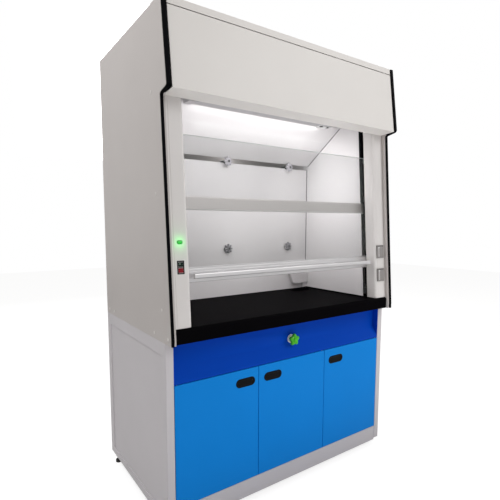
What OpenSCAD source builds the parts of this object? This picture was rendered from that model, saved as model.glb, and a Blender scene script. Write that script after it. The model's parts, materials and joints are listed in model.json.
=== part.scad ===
// Fume hood on a base cabinet: counterweighted sliding sash, slotted baffles, remote water valve.
// Origin on the floor under the middle of the hood: X to the right, Y to the back, Z up.

/* [Overall] */
// Width over the side panels
hood_w = 1500; // [1300:10:1800]
// Depth from the lowest front edge of the hood to its back
hood_d = 884; // [840:2:1000]
// Height of the worktop's underside above the floor
counter_z = 914; // [860:1:960]
// Height of the ceiling above the worktop's underside
ceiling_h = 1186; // [1150:1:1250]
// Height of the hood's top above the ceiling
plenum_h = 250; // [230:1:400]
// Height of the front opening, from the worktop's underside to the step of the side panels
opening_h = 1052; // [1000:1:1080]

/* [Base cabinet] */
// Height of the cabinet sides above the floor
base_gap = 46; // [40:1:80]
// Height of the plinth's lower edge above the floor
plinth_gap = 35; // [20:1:39]
// Thickness of a cabinet side, which is also the width of the front stile
base_side_t = 38; // [30:1:50]
// Distance of the cabinet front behind the hood's lowest front edge
base_setback = 68; // [60:1:100]
// Height of the doors' lower edge above the floor
door_low = 130; // [110:1:180]
// Height of the service panel above the doors
service_h = 200; // [170:1:240]
// Gap round each door
door_gap = 3; // [2.6:0.1:4]
// Door thickness
door_t = 18; // [17:0.5:22]
// Thickness of the cabinet's back, floor, dividers and shelves
board_t = 16; // [12:1:20]
// Depth of the pressed inset in each cabinet side
inset_depth = 5; // [2:0.5:6]
// Depth of the recess in the service panel
recess_depth = 36; // [24:1:50]
// Thickness of the folded sheet of the service panel, fascia and roof
sheet_t = 3; // [2:0.5:4]

/* [Doors and pulls] */
// Length of a finger pull
pull_w = 117; // [90:1:140]
// Height of a finger pull
pull_h = 45; // [36:1:55]
// Depth of a finger pull's cup
pull_depth = 13; // [11:0.5:14]
// Distance of the pulls' middle below the doors' top edge
pull_drop = 66; // [45:1:120]
// Radius of a door pivot pin
pivot_r = 3; // [2.5:0.5:4]
// Distance of the pivot axis from the door's hung edge
pivot_in = 14; // [13:0.5:20]
// Distance of the pivot axis behind the door's face
pivot_back = 8; // [7.5:0.5:9]

/* [Worktop] */
// Thickness of the worktop at its rim
worktop_t = 67; // [45:1:80]
// Depth of the dished surface below the rim
dish_depth = 6; // [4:1:12]
// Width of the rim along the front
rim_w = 34; // [26:1:45]
// Radius of the worktop's front top edge
nose_r = 14; // [8:1:20]
// Length of the drip cup
cup_l = 150; // [120:1:200]
// Width of the drip cup
cup_w = 75; // [60:1:100]
// Depth of the drip cup below the worktop surface
cup_depth = 110; // [80:1:150]
// Radius of the drip cup's outlet
drain_r = 16; // [12:1:20]

/* [Hood body] */
// Thickness of a hood side panel
wall_t = 25; // [20:1:35]
// Lean of the lower front, sash and posts from upright, in degrees
front_lean = 3.87; // [3:0.01:4.5]
// Lean of the fascia from upright, in degrees
fascia_lean = 6.9; // [5:0.1:8]
// How far the fascia's foot stands in front of the step
fascia_step = 65; // [55:1:80]
// Height of the top cap above the fascia joint
cap_h = 32; // [24:1:50]
// Depth of the black edge trim
trim_d = 9; // [6:0.5:12]
// Width of the edge trim beside the opening
trim_w = 13; // [10:0.5:16]
// Width of the edge trim beside the fascia
trim_top_w = 21; // [17:0.5:24]
// Radius of the duct collar
collar_r = 125; // [100:1:160]
// Wall thickness of the duct collar
collar_wall = 2; // [1.5:0.5:4]
// Height of the duct collar above the roof
collar_h = 60; // [40:1:100]

/* [Front posts and sash] */
// Width of a front post
post_w = 90; // [82:1:100]
// Depth of a front post
post_d = 64; // [56:1:72]
// Distance of a post's face behind the side panel's front edge
post_set = 28; // [24:1:32]
// Radius of a post's inner front edge
post_r = 16; // [8:1:24]
// Thickness of the sash in its channels
sash_t = 11; // [10:0.5:14]
// Height of the sash
sash_h = 672; // [640:2:700]
// Height of the sash above its closed place, as shown
sash_lift = 183; // [150:1:200]
// Travel of the sash above the place shown
sash_rise = 330; // [280:1:360]
// Height of the sash's bottom rail
sash_rail_h = 71; // [50:1:90]
// Thickness of the laminated glass
glass_t = 6; // [4:1:8]
// Height of the handle bar
bar_h = 22; // [16:1:30]
// Depth of the handle bar
bar_d = 18; // [14:1:24]
// Height of the fixed glass's lower edge above the step where the front starts to lean
fixed_low = 561; // [550:1:640]
// Height of the bottom rail of the fixed glass
fixed_rail_h = 62; // [45:1:80]

/* [Sash drive] */
// Pitch radius of the belt pulleys
belt_r = 31.5; // [28:0.5:34]
// Thickness of the toothed belt
belt_t = 3; // [2:0.5:4]
// Width of the toothed belt
belt_w = 15; // [10:1:18]
// Radius of the cross shaft
shaft_r = 8; // [6:0.5:10]
// Length of a counterweight
weight_l = 500; // [420:5:520]
// Radial clearance of a shaft in its bore
run_fit = 0.05; // [0.03:0.01:0.1]

/* [Inside the hood] */
// Distance of the lower baffle's face in front of the hood's back
baffle_gap = 233; // [200:1:260]
// Height of the lower baffle's top above the worktop's underside
baffle_h = 902; // [830:1:940]
// Height of the slot above the lower baffle
slot_h = 27; // [24:1:60]
// Distance of the upper baffle's lower edge in front of the lower baffle
slot_set = 9; // [0:1:40]
// Gap between the upper baffle's top edge and the ceiling
upper_gap = 48; // [30:1:60]
// Thickness of the liner, baffles and ceiling
liner_t = 6; // [4:1:10]
// Diameter of a baffle knob
knob_d = 62; // [50:1:70]
// Distance of the lower left knob from the hood's middle
knob_left = 43; // [0:1:200]
// Distance of the lower right knob from the right side liner
knob_right = 181; // [120:1:260]
// Height of the lower knobs above the worktop's underside
knob_low = 366; // [300:1:500]
// Height of the upper knobs above the lower baffle's top
knob_rise = 5; // [0:1:12]
// Distance of the upper knobs to the left of the lower ones
knob_shift = 14; // [0:1:40]
// Half the length of the lamp with its holders
lamp_half = 500; // [400:5:560]
// Distance of the lamp behind the ceiling's front edge
lamp_set = 65; // [50:1:80]
// Depth of the lamp's underside below the ceiling
lamp_drop = 69; // [60:1:90]
// Depth of the lamp's housing from front to back
lamp_d = 72; // [60:1:90]
// Radius of the lamp tube
tube_r = 12; // [8:0.5:13]

/* [Fittings] */
// Height of the indicator light above the worktop's underside
light_up = 442; // [420:1:600]
// Height of the switches above the worktop's underside
switch_up = 333; // [200:1:360]
// Height of the upper socket above the worktop's underside
socket_up = 350; // [300:1:500]
// Diameter of the water valve's star knob
valve_d = 66; // [50:1:76]
// Width of a socket outlet
socket_w = 62; // [54:1:64]
// Height of a socket outlet
socket_h = 78; // [70:1:90]
// Distance between the middles of the two sockets
socket_pitch = 142; // [120:1:160]
// Height of the switch opening
switch_h = 53; // [48:1:70]
// Width of the switch opening
switch_w = 28; // [24:1:36]
// Height of the water outlet's block
outlet_h = 150; // [120:1:180]
// Height of the water outlet's block above the worktop surface
outlet_up = 39; // [30:1:60]
// Width of the water outlet's block along its lower edge
outlet_low_w = 138; // [110:1:180]
// Width of the water outlet's block along its upper edge
outlet_high_w = 205; // [180:1:230]
// Depth of the water outlet's block
outlet_d = 28; // [20:1:40]

/* [Hidden] */
$fn = 48;

// Colours
white_paint = [0.86, 0.85, 0.84];
light_blue = [0.09, 0.46, 0.75];
dark_blue = [0.03, 0.24, 0.63];
black_paint = [0.06, 0.06, 0.07];
steel = [0.62, 0.63, 0.65];
grey_plastic = [0.55, 0.55, 0.55];
clear = [0.8, 0.88, 0.9, 0.35];

// Main planes
half_w = hood_w / 2;
front_y = -hood_d / 2;
back_y = hood_d / 2;
hood_top = counter_z + ceiling_h + plenum_h;
step_z = counter_z + opening_h;
lean_z = counter_z + 33;
step_y = front_y + (step_z - lean_z) * tan(front_lean);
foot_y = step_y - fascia_step;
foot_z = step_z + 14;
fascia_slope = tan(fascia_lean);
inner_w = half_w - wall_t;
liner_x = inner_w - post_w + 5;
rim_z = counter_z + worktop_t;
surface_z = rim_z - dish_depth;
ceiling_z = counter_z + ceiling_h;
panel_fit = 0.5;
back_set = 4;

// Front line of a side panel, from its foot to its top, as [y, z]
front_line = [[front_y, counter_z], [front_y, lean_z], [step_y, step_z], [foot_y, foot_z],
              [foot_y + (hood_top - foot_z) * fascia_slope, hood_top]];
front_round = [0, 40, 6, 16, 0];

// Unit vector along a line, and the line's length
function span(a, b) = norm(b - a);
function along(a, b) = (b - a) / span(a, b);
function inward(u) = [u[1], -u[0]];
function cross2(u, v) = u[0] * v[1] - u[1] * v[0];

// A line of points moved inward by d, its two ends kept at their own height
function inset_line(p, d) = [for (i = [0 : len(p) - 1])
    i == 0 ? p[0] + [d / inward(along(p[0], p[1]))[0], 0]
    : i == len(p) - 1 ? p[i] + [d / inward(along(p[i - 1], p[i]))[0], 0]
    : let (n1 = inward(along(p[i - 1], p[i])), n2 = inward(along(p[i], p[i + 1])))
      p[i] + (n1 + n2) * d / (1 + n1 * n2)];

// A line with each corner rounded to its own radius, grown or shrunk by the inset d
function rounded_line(p, r, d = 0) = [for (i = [0 : len(p) - 1])
    let (ends = i == 0 || i == len(p) - 1,
         u1 = ends ? [0, 1] : along(p[i - 1], p[i]),
         u2 = ends ? [0, 1] : along(p[i], p[i + 1]),
         side = sign(cross2(u1, u2)),
         radius = max(r[i] + side * d, 0.5),
         turn = acos(min(1, u1 * u2)),
         back = radius * tan(turn / 2),
         centre = p[i] - u1 * back - side * inward(u1) * radius)
    each ends || r[i] == 0 ? [p[i]]
         : [for (k = [0 : 6]) let (a = side * turn * k / 6, n = inward(u1) * side)
              centre + radius * [n[0] * cos(a) - n[1] * sin(a), n[0] * sin(a) + n[1] * cos(a)]]];

// A closed strip of sheet: a line and the same line moved inward
function strip(p, d) = concat(p, [for (i = [len(p) - 1 : -1 : 0]) inset_line(p, d)[i]]);

function reversed(p) = [for (i = [len(p) - 1 : -1 : 0]) p[i]];

// Height along the leaning front for a height z and a depth n behind the front line
function slope_at(z, n) = (z - lean_z + n * sin(front_lean)) / cos(front_lean);

// Y of the leaning front line, n behind it, at height z
function lean_y(z, n) = front_y + (z - lean_z) * tan(front_lean) + n / cos(front_lean);

// Extrude a [y, z] outline from x0 to x1
module bar_x(x0, x1) {
    translate([x0, 0, 0]) rotate([90, 0, 90]) linear_extrude(x1 - x0) children();
}

// Box from its lowest to its highest corner
module box(low, high) {
    translate(low) cube(high - low);
}

// Children on the right and mirrored on the left
module both_sides() {
    children();
    mirror([1, 0, 0]) children();
}

// Frame of the leaning front: X right, Y back from the front line, Z up the slope
module on_front() {
    translate([0, front_y, lean_z]) rotate([-front_lean, 0, 0]) children();
}

// Cylinder along X between two x values
module rod_x(r, x0, x1) {
    translate([x0, 0, 0]) rotate([0, 90, 0]) cylinder(r = r, h = x1 - x0);
}

// Cylinder along Y between two y values
module rod_y(r, y0, y1) {
    translate([0, y0, 0]) rotate([-90, 0, 0]) cylinder(r = r, h = y1 - y0);
}

// Slot with round ends in the XZ plane, from y0 to y1, centred on the Y axis
module stadium_y(w, h, y0, y1) {
    straight = (w - h) / 2;
    box([-straight, y0, -h / 2], [straight, y1, h / 2]);
    for (s = [-1, 1]) translate([s * straight, 0, 0]) rod_y(h / 2, y0, y1);
}

// ---- Base cabinet ----

base_y = front_y + base_setback;
bay_x = half_w - base_side_t;
door_top = counter_z - service_h;
door_w = (2 * bay_x - 4 * door_gap) / 3;
door_h = door_top - door_low;
inside_y = base_y + door_t + 2;
back_in = back_y - board_t;

module base_sides() {
    inset_front = 44;
    inset_back = 52;
    inset_low = 40;
    inset_top = 63;
    color(white_paint) both_sides() difference() {
        box([bay_x, base_y, base_gap], [half_w, back_y, counter_z]);
        box([half_w - inset_depth, base_y + inset_front, base_gap + inset_low],
            [half_w + 1, back_y - inset_back, counter_z - inset_top]);
        translate([half_w - base_side_t / 2, 0, base_gap]) foot_places() foot_hole();
    }
}

module base_back() {
    color(white_paint) box([-bay_x, back_in, base_gap], [bay_x, back_y - back_set, counter_z]);
}

module base_floor() {
    top = door_low - door_gap;
    color(white_paint) box([-bay_x, inside_y, top - board_t], [bay_x, back_in, top]);
}

// Middles of the two gaps between the doors
module divider_places() {
    for (s = [-1, 1]) translate([s * (door_w + door_gap) / 2, 0, 0]) children();
}

// Set back below so that the doors' hung edges turn clear of them
module base_dividers() {
    low = door_low - door_gap;
    front = inside_y + 8;
    color(white_paint) divider_places() {
        box([-board_t / 2, front, low], [board_t / 2, back_in, band_low]);
        box([-board_t / 2, recess_y + sheet_t, low], [board_t / 2, back_in, counter_z]);
    }
}

shelf_z = door_low + 0.46 * door_h;
shelf_front = inside_y + 60;

// One shelf in each of the three bays, against the back
module base_shelves() {
    inner = door_w + door_gap - board_t - 2 * panel_fit;
    outer_low = (door_w + door_gap + board_t) / 2 + panel_fit;
    color(white_paint) {
        box([-inner / 2, shelf_front, shelf_z], [inner / 2, back_in, shelf_z + board_t]);
        both_sides()
            box([outer_low, shelf_front, shelf_z], [bay_x, back_in, shelf_z + board_t]);
    }
}

module plinth() {
    color(white_paint) difference() {
        box([-bay_x, base_y + 2, plinth_gap], [bay_x, inside_y, door_low - door_gap]);
        pivot_places() translate([0, 0, door_low - door_gap - pivot_depth])
            cylinder(r = pivot_r, h = pivot_depth + 1);
    }
}

foot_r = 18;
foot_stem_r = 5;
foot_bore_depth = 40;

module foot_places() {
    for (y = [base_y + 70, back_y - 70]) translate([0, y, 0]) children();
}

module foot_hole() {
    translate([0, 0, -1]) cylinder(r = foot_stem_r + run_fit, h = foot_bore_depth + 1);
}

module levelling_feet() {
    pad_h = 14;
    nut_h = 8;
    color(black_paint) both_sides() translate([half_w - base_side_t / 2, 0, 0]) foot_places() {
        cylinder(r = foot_r, h = pad_h);
        cylinder(r = foot_stem_r, h = base_gap + foot_bore_depth);
        translate([0, 0, base_gap - nut_h]) cylinder(r = 9, h = nut_h, $fn = 6);
    }
}

// ---- Service panel and water valve ----

band_low = door_top + 3;
rail_h = 16;
lip_y = base_y + 3;
recess_y = base_y + recess_depth;
valve_x = 10;
valve_z = door_top + 98;
spindle_r = 5;
valve_plate_r = 24;
recess_low = valve_z - valve_plate_r - 3;
hem_low = counter_z - 12;
// Front line of the service panel, from its foot to its top, as [y, z]
service_line = [[lip_y, band_low], [lip_y, band_low + rail_h],
                [recess_y, recess_low], [recess_y, hem_low - 5],
                [base_y, hem_low], [base_y, counter_z]];

module service_panel() {
    end_t = sheet_t;
    rail_d = 30;
    color(dark_blue) difference() {
        union() {
            bar_x(-bay_x, bay_x) polygon(strip(service_line, sheet_t));
            box([-bay_x, lip_y, band_low], [bay_x, lip_y + rail_d, band_low + rail_h]);
            both_sides() bar_x(bay_x - end_t, bay_x)
                polygon([[lip_y, band_low], [base_y, counter_z],
                         [recess_y + sheet_t, counter_z], [recess_y + sheet_t, band_low]]);
        }
        pivot_places() translate([0, 0, band_low - 1]) cylinder(r = pivot_r, h = pivot_depth + 1);
        translate([valve_x, 0, valve_z]) rod_y(spindle_r + 1, recess_y - 5, recess_y + 10);
    }
}

knob_reach = 20;
// Distance of the knob in front of its plate
knob_out = 18;

// Star knob with round lobes, its back face at y = 0, pointing to the front
module star_knob(d, lobes, depth) {
    notch = d / (lobes + 3);
    step = 360 / (lobes * 10);
    rotate([90, 0, 0]) linear_extrude(depth) polygon([for (a = [0 : step : 360 - step])
        (d - notch * (1 - cos(lobes * a))) / 2 * [sin(a), cos(a)]]);
    rod_y(d * 0.2, -depth - 4, -depth);
}

plate_t = 3;

module valve_knob() {
    color([0.25, 0.6, 0.1]) translate([valve_x, recess_y, valve_z]) {
        translate([0, -plate_t - knob_out, 0]) star_knob(valve_d, 5, knob_reach);
        rod_y(spindle_r, -plate_t - knob_out - 1, sheet_t + 50);
    }
}

module valve_plate() {
    color("white") translate([valve_x, recess_y, valve_z]) difference() {
        rod_y(valve_plate_r, -plate_t, 0);
        rod_y(spindle_r + 1, -plate_t - 1, 1);
    }
}

module valve_body() {
    color("goldenrod") translate([valve_x, recess_y + sheet_t, valve_z]) difference() {
        union() {
            rod_y(16, 0, 12);
            rod_y(22, 12, 62);
            translate([0, 37, -70]) cylinder(r = 9, h = 70 + counter_z - valve_z);
        }
        rod_y(spindle_r + run_fit, -1, 51);
    }
}

// ---- Doors ----

pivot_depth = 12;
// How much a pull's rim is longer and higher than its cup
pull_ledge = 16;

// X of the left edge of door 0, 1 or 2, and the side its pivot is on
function door_x(i) = -bay_x + door_gap + i * (door_w + door_gap);
function pivot_x(i) = i == 0 ? door_x(i) + pivot_in : door_x(i) + door_w - pivot_in;
function pull_x(i) = i == 0 ? door_x(i) + door_w - 22 - pull_w / 2 : door_x(i) + 34 + pull_w / 2;

module pivot_places() {
    for (i = [0 : 2]) translate([pivot_x(i), base_y + pivot_back, 0]) children();
}

// Each pin is held in the plinth or the service panel and reaches into its door
module door_pivot_pins() {
    color(steel) pivot_places() {
        translate([0, 0, door_low - door_gap - pivot_depth])
            cylinder(r = pivot_r, h = 2 * pivot_depth);
        translate([0, 0, band_low - pivot_depth]) cylinder(r = pivot_r, h = 2 * pivot_depth);
    }
}

module door(i) {
    color(light_blue) difference() {
        box([door_x(i), base_y, door_low], [door_x(i) + door_w, base_y + door_t, door_top]);
        translate([pivot_x(i), base_y + pivot_back, 0]) {
            translate([0, 0, door_low - 1]) cylinder(r = pivot_r + run_fit, h = pivot_depth + 2);
            translate([0, 0, door_top - pivot_depth - 1])
                cylinder(r = pivot_r + run_fit, h = pivot_depth + 2);
        }
        translate([pull_x(i), base_y, door_top - pull_drop])
            stadium_y(pull_w - pull_ledge, pull_h - pull_ledge, -1, pull_depth);
    }
}

module door_left() { door(0); }
module door_middle() { door(1); }
module door_right() { door(2); }

pull_rim = 2;
pull_wall = 2;

module pull(i) {
    pocket_w = pull_w - pull_ledge;
    pocket_h = pull_h - pull_ledge;
    color(black_paint) translate([pull_x(i), base_y, door_top - pull_drop]) difference() {
        union() {
            stadium_y(pull_w, pull_h, -pull_rim, 0);
            stadium_y(pocket_w, pocket_h, -pull_rim, pull_depth);
        }
        stadium_y(pocket_w - 2 * pull_wall, pocket_h - 2 * pull_wall, -pull_rim - 1,
                  pull_depth - pull_wall);
    }
}

module pull_left() { pull(0); }
module pull_middle() { pull(1); }
module pull_right() { pull(2); }

// ---- Worktop ----

worktop_y = front_y + 20;
dish_half = liner_x - 10;
cup_x = liner_x - 120;
baffle_y = back_y - baffle_gap;
cup_y = baffle_y - 80;

module worktop() {
    color(black_paint) difference() {
        bar_x(-inner_w, inner_w) polygon(concat(
            [[back_in, counter_z], [worktop_y, counter_z], [worktop_y, rim_z - nose_r]],
            [for (a = [0 : 15 : 90])
                [worktop_y + nose_r * (1 - cos(a)), rim_z - nose_r * (1 - sin(a))]],
            [[back_in, rim_z]]));
        box([-dish_half, worktop_y + rim_w, surface_z], [dish_half, back_in - 30, rim_z + 1]);
        translate([cup_x, cup_y, 0]) cup_outline(0, counter_z - 1, rim_z);
    }
}

// Upright slot shape of the drip cup, grown by g, between two heights
module cup_outline(g, z0, z1) {
    r = cup_w / 2 + g;
    straight = (cup_l - cup_w) / 2;
    box([-straight, -r, z0], [straight, r, z1]);
    for (s = [-1, 1]) translate([s * straight, 0, z0]) cylinder(r = r, h = z1 - z0);
}

module drip_cup() {
    wall = 3;
    flange = 8;
    color(black_paint) translate([cup_x, cup_y, 0]) difference() {
        union() {
            cup_outline(0, surface_z - cup_depth, surface_z);
            difference() {
                cup_outline(flange, surface_z, surface_z + 2);
                cup_outline(-wall, surface_z - 1, surface_z + 3);
            }
            translate([0, 0, surface_z - cup_depth - 50]) cylinder(r = drain_r, h = 60);
        }
        cup_outline(-wall, surface_z - cup_depth + wall, surface_z + 3);
        translate([0, 0, surface_z - cup_depth - 51]) cylinder(r = drain_r - wall, h = 70);
    }
}

// ---- Hood body ----

trim_line = rounded_line(front_line, front_round);
trim_inner = rounded_line(inset_line(front_line, trim_d), front_round, trim_d);

screw_r = 2.5;
screw_depth = 14;
// Screw places on a side panel: distance from the back or the front and height above the
// worktop's underside
rear_screws = [[47, 28], [131, 27]];
front_screws = [[184, 27], [38, 27], [96, 146], [138, 649], [171, 1083]];

module screw_places() {
    for (p = rear_screws) translate([half_w, back_y - p[0], counter_z + p[1]]) children();
    for (p = front_screws) translate([half_w, front_y + p[0], counter_z + p[1]]) children();
}

module hood_sides() {
    color(white_paint) both_sides() difference() {
        bar_x(inner_w, half_w)
            polygon(concat(trim_inner, [[back_y, hood_top], [back_y, counter_z]]));
        screw_places() rod_x(screw_r, -screw_depth, 1);
    }
}

module side_screws() {
    head_r = 7;
    head_h = 2;
    color(white_paint) both_sides() screw_places() {
        rod_x(screw_r, -screw_depth, 0);
        rod_x(head_r, 0, head_h);
    }
}

module edge_trims() {
    outline = concat(trim_line, reversed(trim_inner));
    color(black_paint) both_sides() {
        bar_x(half_w - trim_w, half_w) polygon(outline);
        intersection() {
            bar_x(half_w - trim_top_w, half_w) polygon(outline);
            box([0, front_y, step_z + 8], [half_w, back_y, hood_top]);
        }
    }
}

cap_low = hood_top - cap_h;
cap_gap = 4;
fascia_set = 5;
header_drop = 8;
header_lip = 34;

// Y of the fascia's face at height z
function fascia_y(z) = foot_y + fascia_set + (z - foot_z) * fascia_slope;

// The header's flange ends just in front of the posts, with a lip folded up behind it
header_y = lean_y(foot_z - header_drop, post_set) - panel_fit;
fascia_line = [[header_y, foot_z - header_drop + header_lip], [header_y, foot_z - header_drop],
               [fascia_y(foot_z), foot_z], [fascia_y(cap_low - cap_gap), cap_low - cap_gap]];

module fascia() {
    edge = inner_w - panel_fit;
    color(white_paint) bar_x(-edge, edge) polygon(strip(fascia_line, sheet_t));
}

// Distance of the collar's middle in front of the hood's back
collar_in = 200;
collar_y = back_y - collar_in;

module roof() {
    edge = inner_w - panel_fit;
    line = [[fascia_y(cap_low), cap_low], [fascia_y(hood_top), hood_top],
            [back_in, hood_top]];
    color(white_paint) difference() {
        bar_x(-edge, edge) polygon(concat(line, [[back_in, hood_top - sheet_t],
            [fascia_y(hood_top) + sheet_t, hood_top - sheet_t],
            [fascia_y(cap_low) + sheet_t, cap_low]]));
        translate([0, collar_y, hood_top - sheet_t - 1]) cylinder(r = collar_r, h = 10, $fn = 96);
    }
}

module exhaust_collar() {
    flange_r = collar_r + 25;
    color(steel) translate([0, collar_y, 0]) difference() {
        union() {
            translate([0, 0, ceiling_z])
                cylinder(r = collar_r, h = hood_top + collar_h - ceiling_z, $fn = 96);
            translate([0, 0, hood_top]) cylinder(r = flange_r, h = sheet_t, $fn = 96);
        }
        translate([0, 0, ceiling_z - 1])
            cylinder(r = collar_r - collar_wall, h = hood_top + collar_h - ceiling_z + 2, $fn = 96);
    }
}

module back_panel() {
    color(white_paint) box([-inner_w, back_in, counter_z], [inner_w, back_y - back_set, hood_top]);
}

// ---- Posts with their fittings ----

post_x = inner_w - post_w / 2;
post_low = inner_w - post_w;
post_back = post_set + post_d;

// Post section in X and depth, with its inner front edge rounded
module post_section() {
    polygon(concat([[inner_w, post_back], [post_low, post_back]],
        [for (a = [0 : 15 : 90])
            [post_low + post_r * (1 - cos(a)), post_set + post_r * (1 - sin(a))]],
        [[inner_w, post_set]]));
}

module post() {
    intersection() {
        on_front() linear_extrude(ceiling_z - counter_z + 40) post_section();
        box([0, front_y, rim_z], [inner_w, 0, ceiling_z]);
    }
}

// Places on the post faces: X, depth of the face, height up the slope
light_s = slope_at(counter_z + light_up, post_set);
switch_s = slope_at(counter_z + switch_up, post_set);
socket_s = slope_at(counter_z + socket_up, post_set);
pocket_depth = 22;

module on_post(x, s) {
    on_front() translate([x, post_set, s]) children();
}

module post_left() {
    color(white_paint) difference() {
        mirror([1, 0, 0]) post();
        on_post(-post_x, light_s) rod_y(light_stem_r, -1, pocket_depth);
        on_post(-post_x, switch_s)
            box([-switch_w / 2, -1, -switch_h / 2], [switch_w / 2, pocket_depth, switch_h / 2]);
    }
}

module post_right() {
    cable_r = 8;
    color(white_paint) difference() {
        post();
        for (k = [0, 1]) on_post(post_x, socket_s - k * socket_pitch)
            translate([0, 0, -recess_drop]) {
                rod_y(housing_r + panel_fit, -1, housing_d + panel_fit);
                rod_y(cable_r, -1, 40);
            }
    }
}

light_stem_r = 7;

module indicator_light() {
    color([0.1, 0.85, 0.25]) on_post(-post_x, light_s) {
        stadium_y(28, 18, -4, 0);
        rod_y(light_stem_r, -1, pocket_depth - 4);
    }
}

bezel_t = 2;
rocker_room = 0.5;
rocker_wall = 2;
rocker_bar = 3;
rocker_w = switch_w - 2 * (rocker_wall + rocker_room);
rocker_h = (switch_h - 2 * rocker_wall - rocker_bar) / 2 - 2 * rocker_room;
rocker_mid = (rocker_bar + rocker_h) / 2 + rocker_room;
rocker_axis = 5;
rocker_pin_r = 1.5;

module switch_bezel() {
    margin = 3;
    open_w = rocker_w / 2 + rocker_room;
    open_h = rocker_h / 2 + rocker_room;
    color(black_paint) on_post(-post_x, switch_s) difference() {
        union() {
            box([-switch_w / 2 - margin, -bezel_t, -switch_h / 2 - margin],
                [switch_w / 2 + margin, 0, switch_h / 2 + margin]);
            box([-switch_w / 2, -bezel_t, -switch_h / 2], [switch_w / 2, 18, switch_h / 2]);
        }
        for (k = [-1, 1]) box([-open_w, -bezel_t - 1, k * rocker_mid - open_h],
                              [open_w, 16, k * rocker_mid + open_h]);
        for (k = [-1, 1]) translate([0, rocker_axis, k * rocker_mid])
            rod_x(rocker_pin_r + run_fit, -switch_w / 2 + 0.5, switch_w / 2 - 0.5);
    }
}

// Rocker with a proud face, its pivot across the switch
module rocker(k) {
    face_h = rocker_h - 2.4;
    on_post(-post_x, switch_s) translate([0, rocker_axis, k * rocker_mid]) {
        rod_x(rocker_pin_r, -rocker_w / 2 - 1.5, rocker_w / 2 + 1.5);
        bar_x(-rocker_w / 2, rocker_w / 2)
            polygon([[-8.5, face_h / 2], [-6.5, 0], [-8.5, -face_h / 2],
                     [-2, -face_h / 2], [5, -4], [5, 4], [-2, face_h / 2]]);
    }
}

module rocker_upper() { color([0.02, 0.2, 0.12]) rocker(1); }
module rocker_lower() { color([0.7, 0.05, 0.08]) rocker(-1); }

socket_d = 3;
cover_t = 5;
cover_gap = 0.4;
recess_r = 20;
recess_d = 12;
housing_r = recess_r + 3;
housing_d = 14;
hinge_r = 2;
hinge_drop = 5;
recess_drop = 4;
contact_x = 9.5;
contact_r = 2.4;

// Flush socket bodies with a round recess, an ear at each side of the cover's hinge and the pin
module socket_bodies() {
    ear_w = 4;
    color(grey_plastic) for (k = [0, 1]) on_post(post_x, socket_s - k * socket_pitch) {
        difference() {
            union() {
                box([-socket_w / 2, -socket_d, -socket_h / 2], [socket_w / 2, 0, socket_h / 2]);
                translate([0, 0, -recess_drop]) rod_y(housing_r, -1, housing_d);
            }
            translate([0, 0, -recess_drop]) rod_y(recess_r, -socket_d - 1, -socket_d + recess_d);
            for (s = [-1, 1])
                translate([s * contact_x, 0, -recess_drop]) rod_y(contact_r, 0, housing_d - 1);
        }
        for (s = [-1, 1]) box([s > 0 ? socket_w / 2 - ear_w : -socket_w / 2, -socket_d - cover_t,
                               socket_h / 2 - 2 * hinge_drop],
                              [s > 0 ? socket_w / 2 : -socket_w / 2 + ear_w, -socket_d, socket_h / 2]);
        translate([0, -socket_d - cover_t + hinge_r + 0.5, socket_h / 2 - hinge_drop])
            rod_x(hinge_r, -socket_w / 2 + 1, socket_w / 2 - 1);
    }
}

// Flip cover of socket k, hung on the pin at its top
module socket_cover(k) {
    ear_room = 4.5;
    top_room = 0.8;
    hinge_y = -socket_d - cover_t + hinge_r + 0.5;
    barrel_r = hinge_r + 0.45;
    color(grey_plastic) on_post(post_x, socket_s - k * socket_pitch) difference() {
        union() {
            box([-socket_w / 2, -socket_d - cover_t, -socket_h / 2],
                [socket_w / 2, -socket_d - cover_gap, socket_h / 2 - 2 * hinge_drop - top_room]);
            box([-socket_w / 2 + ear_room, -socket_d - cover_t, socket_h / 2 - 2 * hinge_drop - 1],
                [socket_w / 2 - ear_room, -socket_d - cover_gap, socket_h / 2 - hinge_drop]);
            translate([0, hinge_y, socket_h / 2 - hinge_drop])
                rod_x(barrel_r, -socket_w / 2 + ear_room, socket_w / 2 - ear_room);
        }
        translate([0, hinge_y, socket_h / 2 - hinge_drop])
            rod_x(hinge_r + run_fit, -socket_w / 2, socket_w / 2);
    }
}

module socket_cover_upper() { socket_cover(0); }
module socket_cover_lower() { socket_cover(1); }

// ---- Inside the hood ----

stack_n = post_back + 36;
baffle_top = counter_z + baffle_h;
ceiling_front = lean_y(ceiling_z + liner_t, post_back + 16);
lamp_y = ceiling_front + lamp_set;
lamp_z = ceiling_z - lamp_drop;
lamp_h = 40;
holder_w = 18;
holder_h = 2 * tube_r + 4;
tube_gap = 2;
tube_y = lamp_y + lamp_d + tube_gap + tube_r;
tube_z = lamp_z + tube_r + tube_gap;
tube_end = lamp_half - 6;
lamp_back = tube_y + tube_r + 1;

module side_liners() {
    low = rim_z;
    color(white_paint) both_sides() bar_x(liner_x, liner_x + liner_t) polygon([
        [lean_y(low, stack_n), low], [lean_y(ceiling_z, stack_n), ceiling_z],
        [back_in, ceiling_z], [back_in, low]]);
}

module lower_baffle() {
    edge = liner_x - panel_fit;
    color(white_paint) difference() {
        union() {
            box([-edge, baffle_y, rim_z], [edge, baffle_y + liner_t, baffle_top]);
            box([-dish_half, baffle_y, surface_z], [dish_half, baffle_y + liner_t, rim_z + 1]);
        }
        for (p = knob_spots)
            translate([p[0], 0, p[2]]) rod_y(sleeve_r, baffle_y - 1, baffle_y + liner_t + 1);
    }
}

// The upper baffle rises from above the slot to just over the lamp, as [y, z]
upper_foot = [baffle_y - slot_set, baffle_top + slot_h];
upper_top = [lamp_back + tube_gap, ceiling_z - upper_gap];

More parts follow.
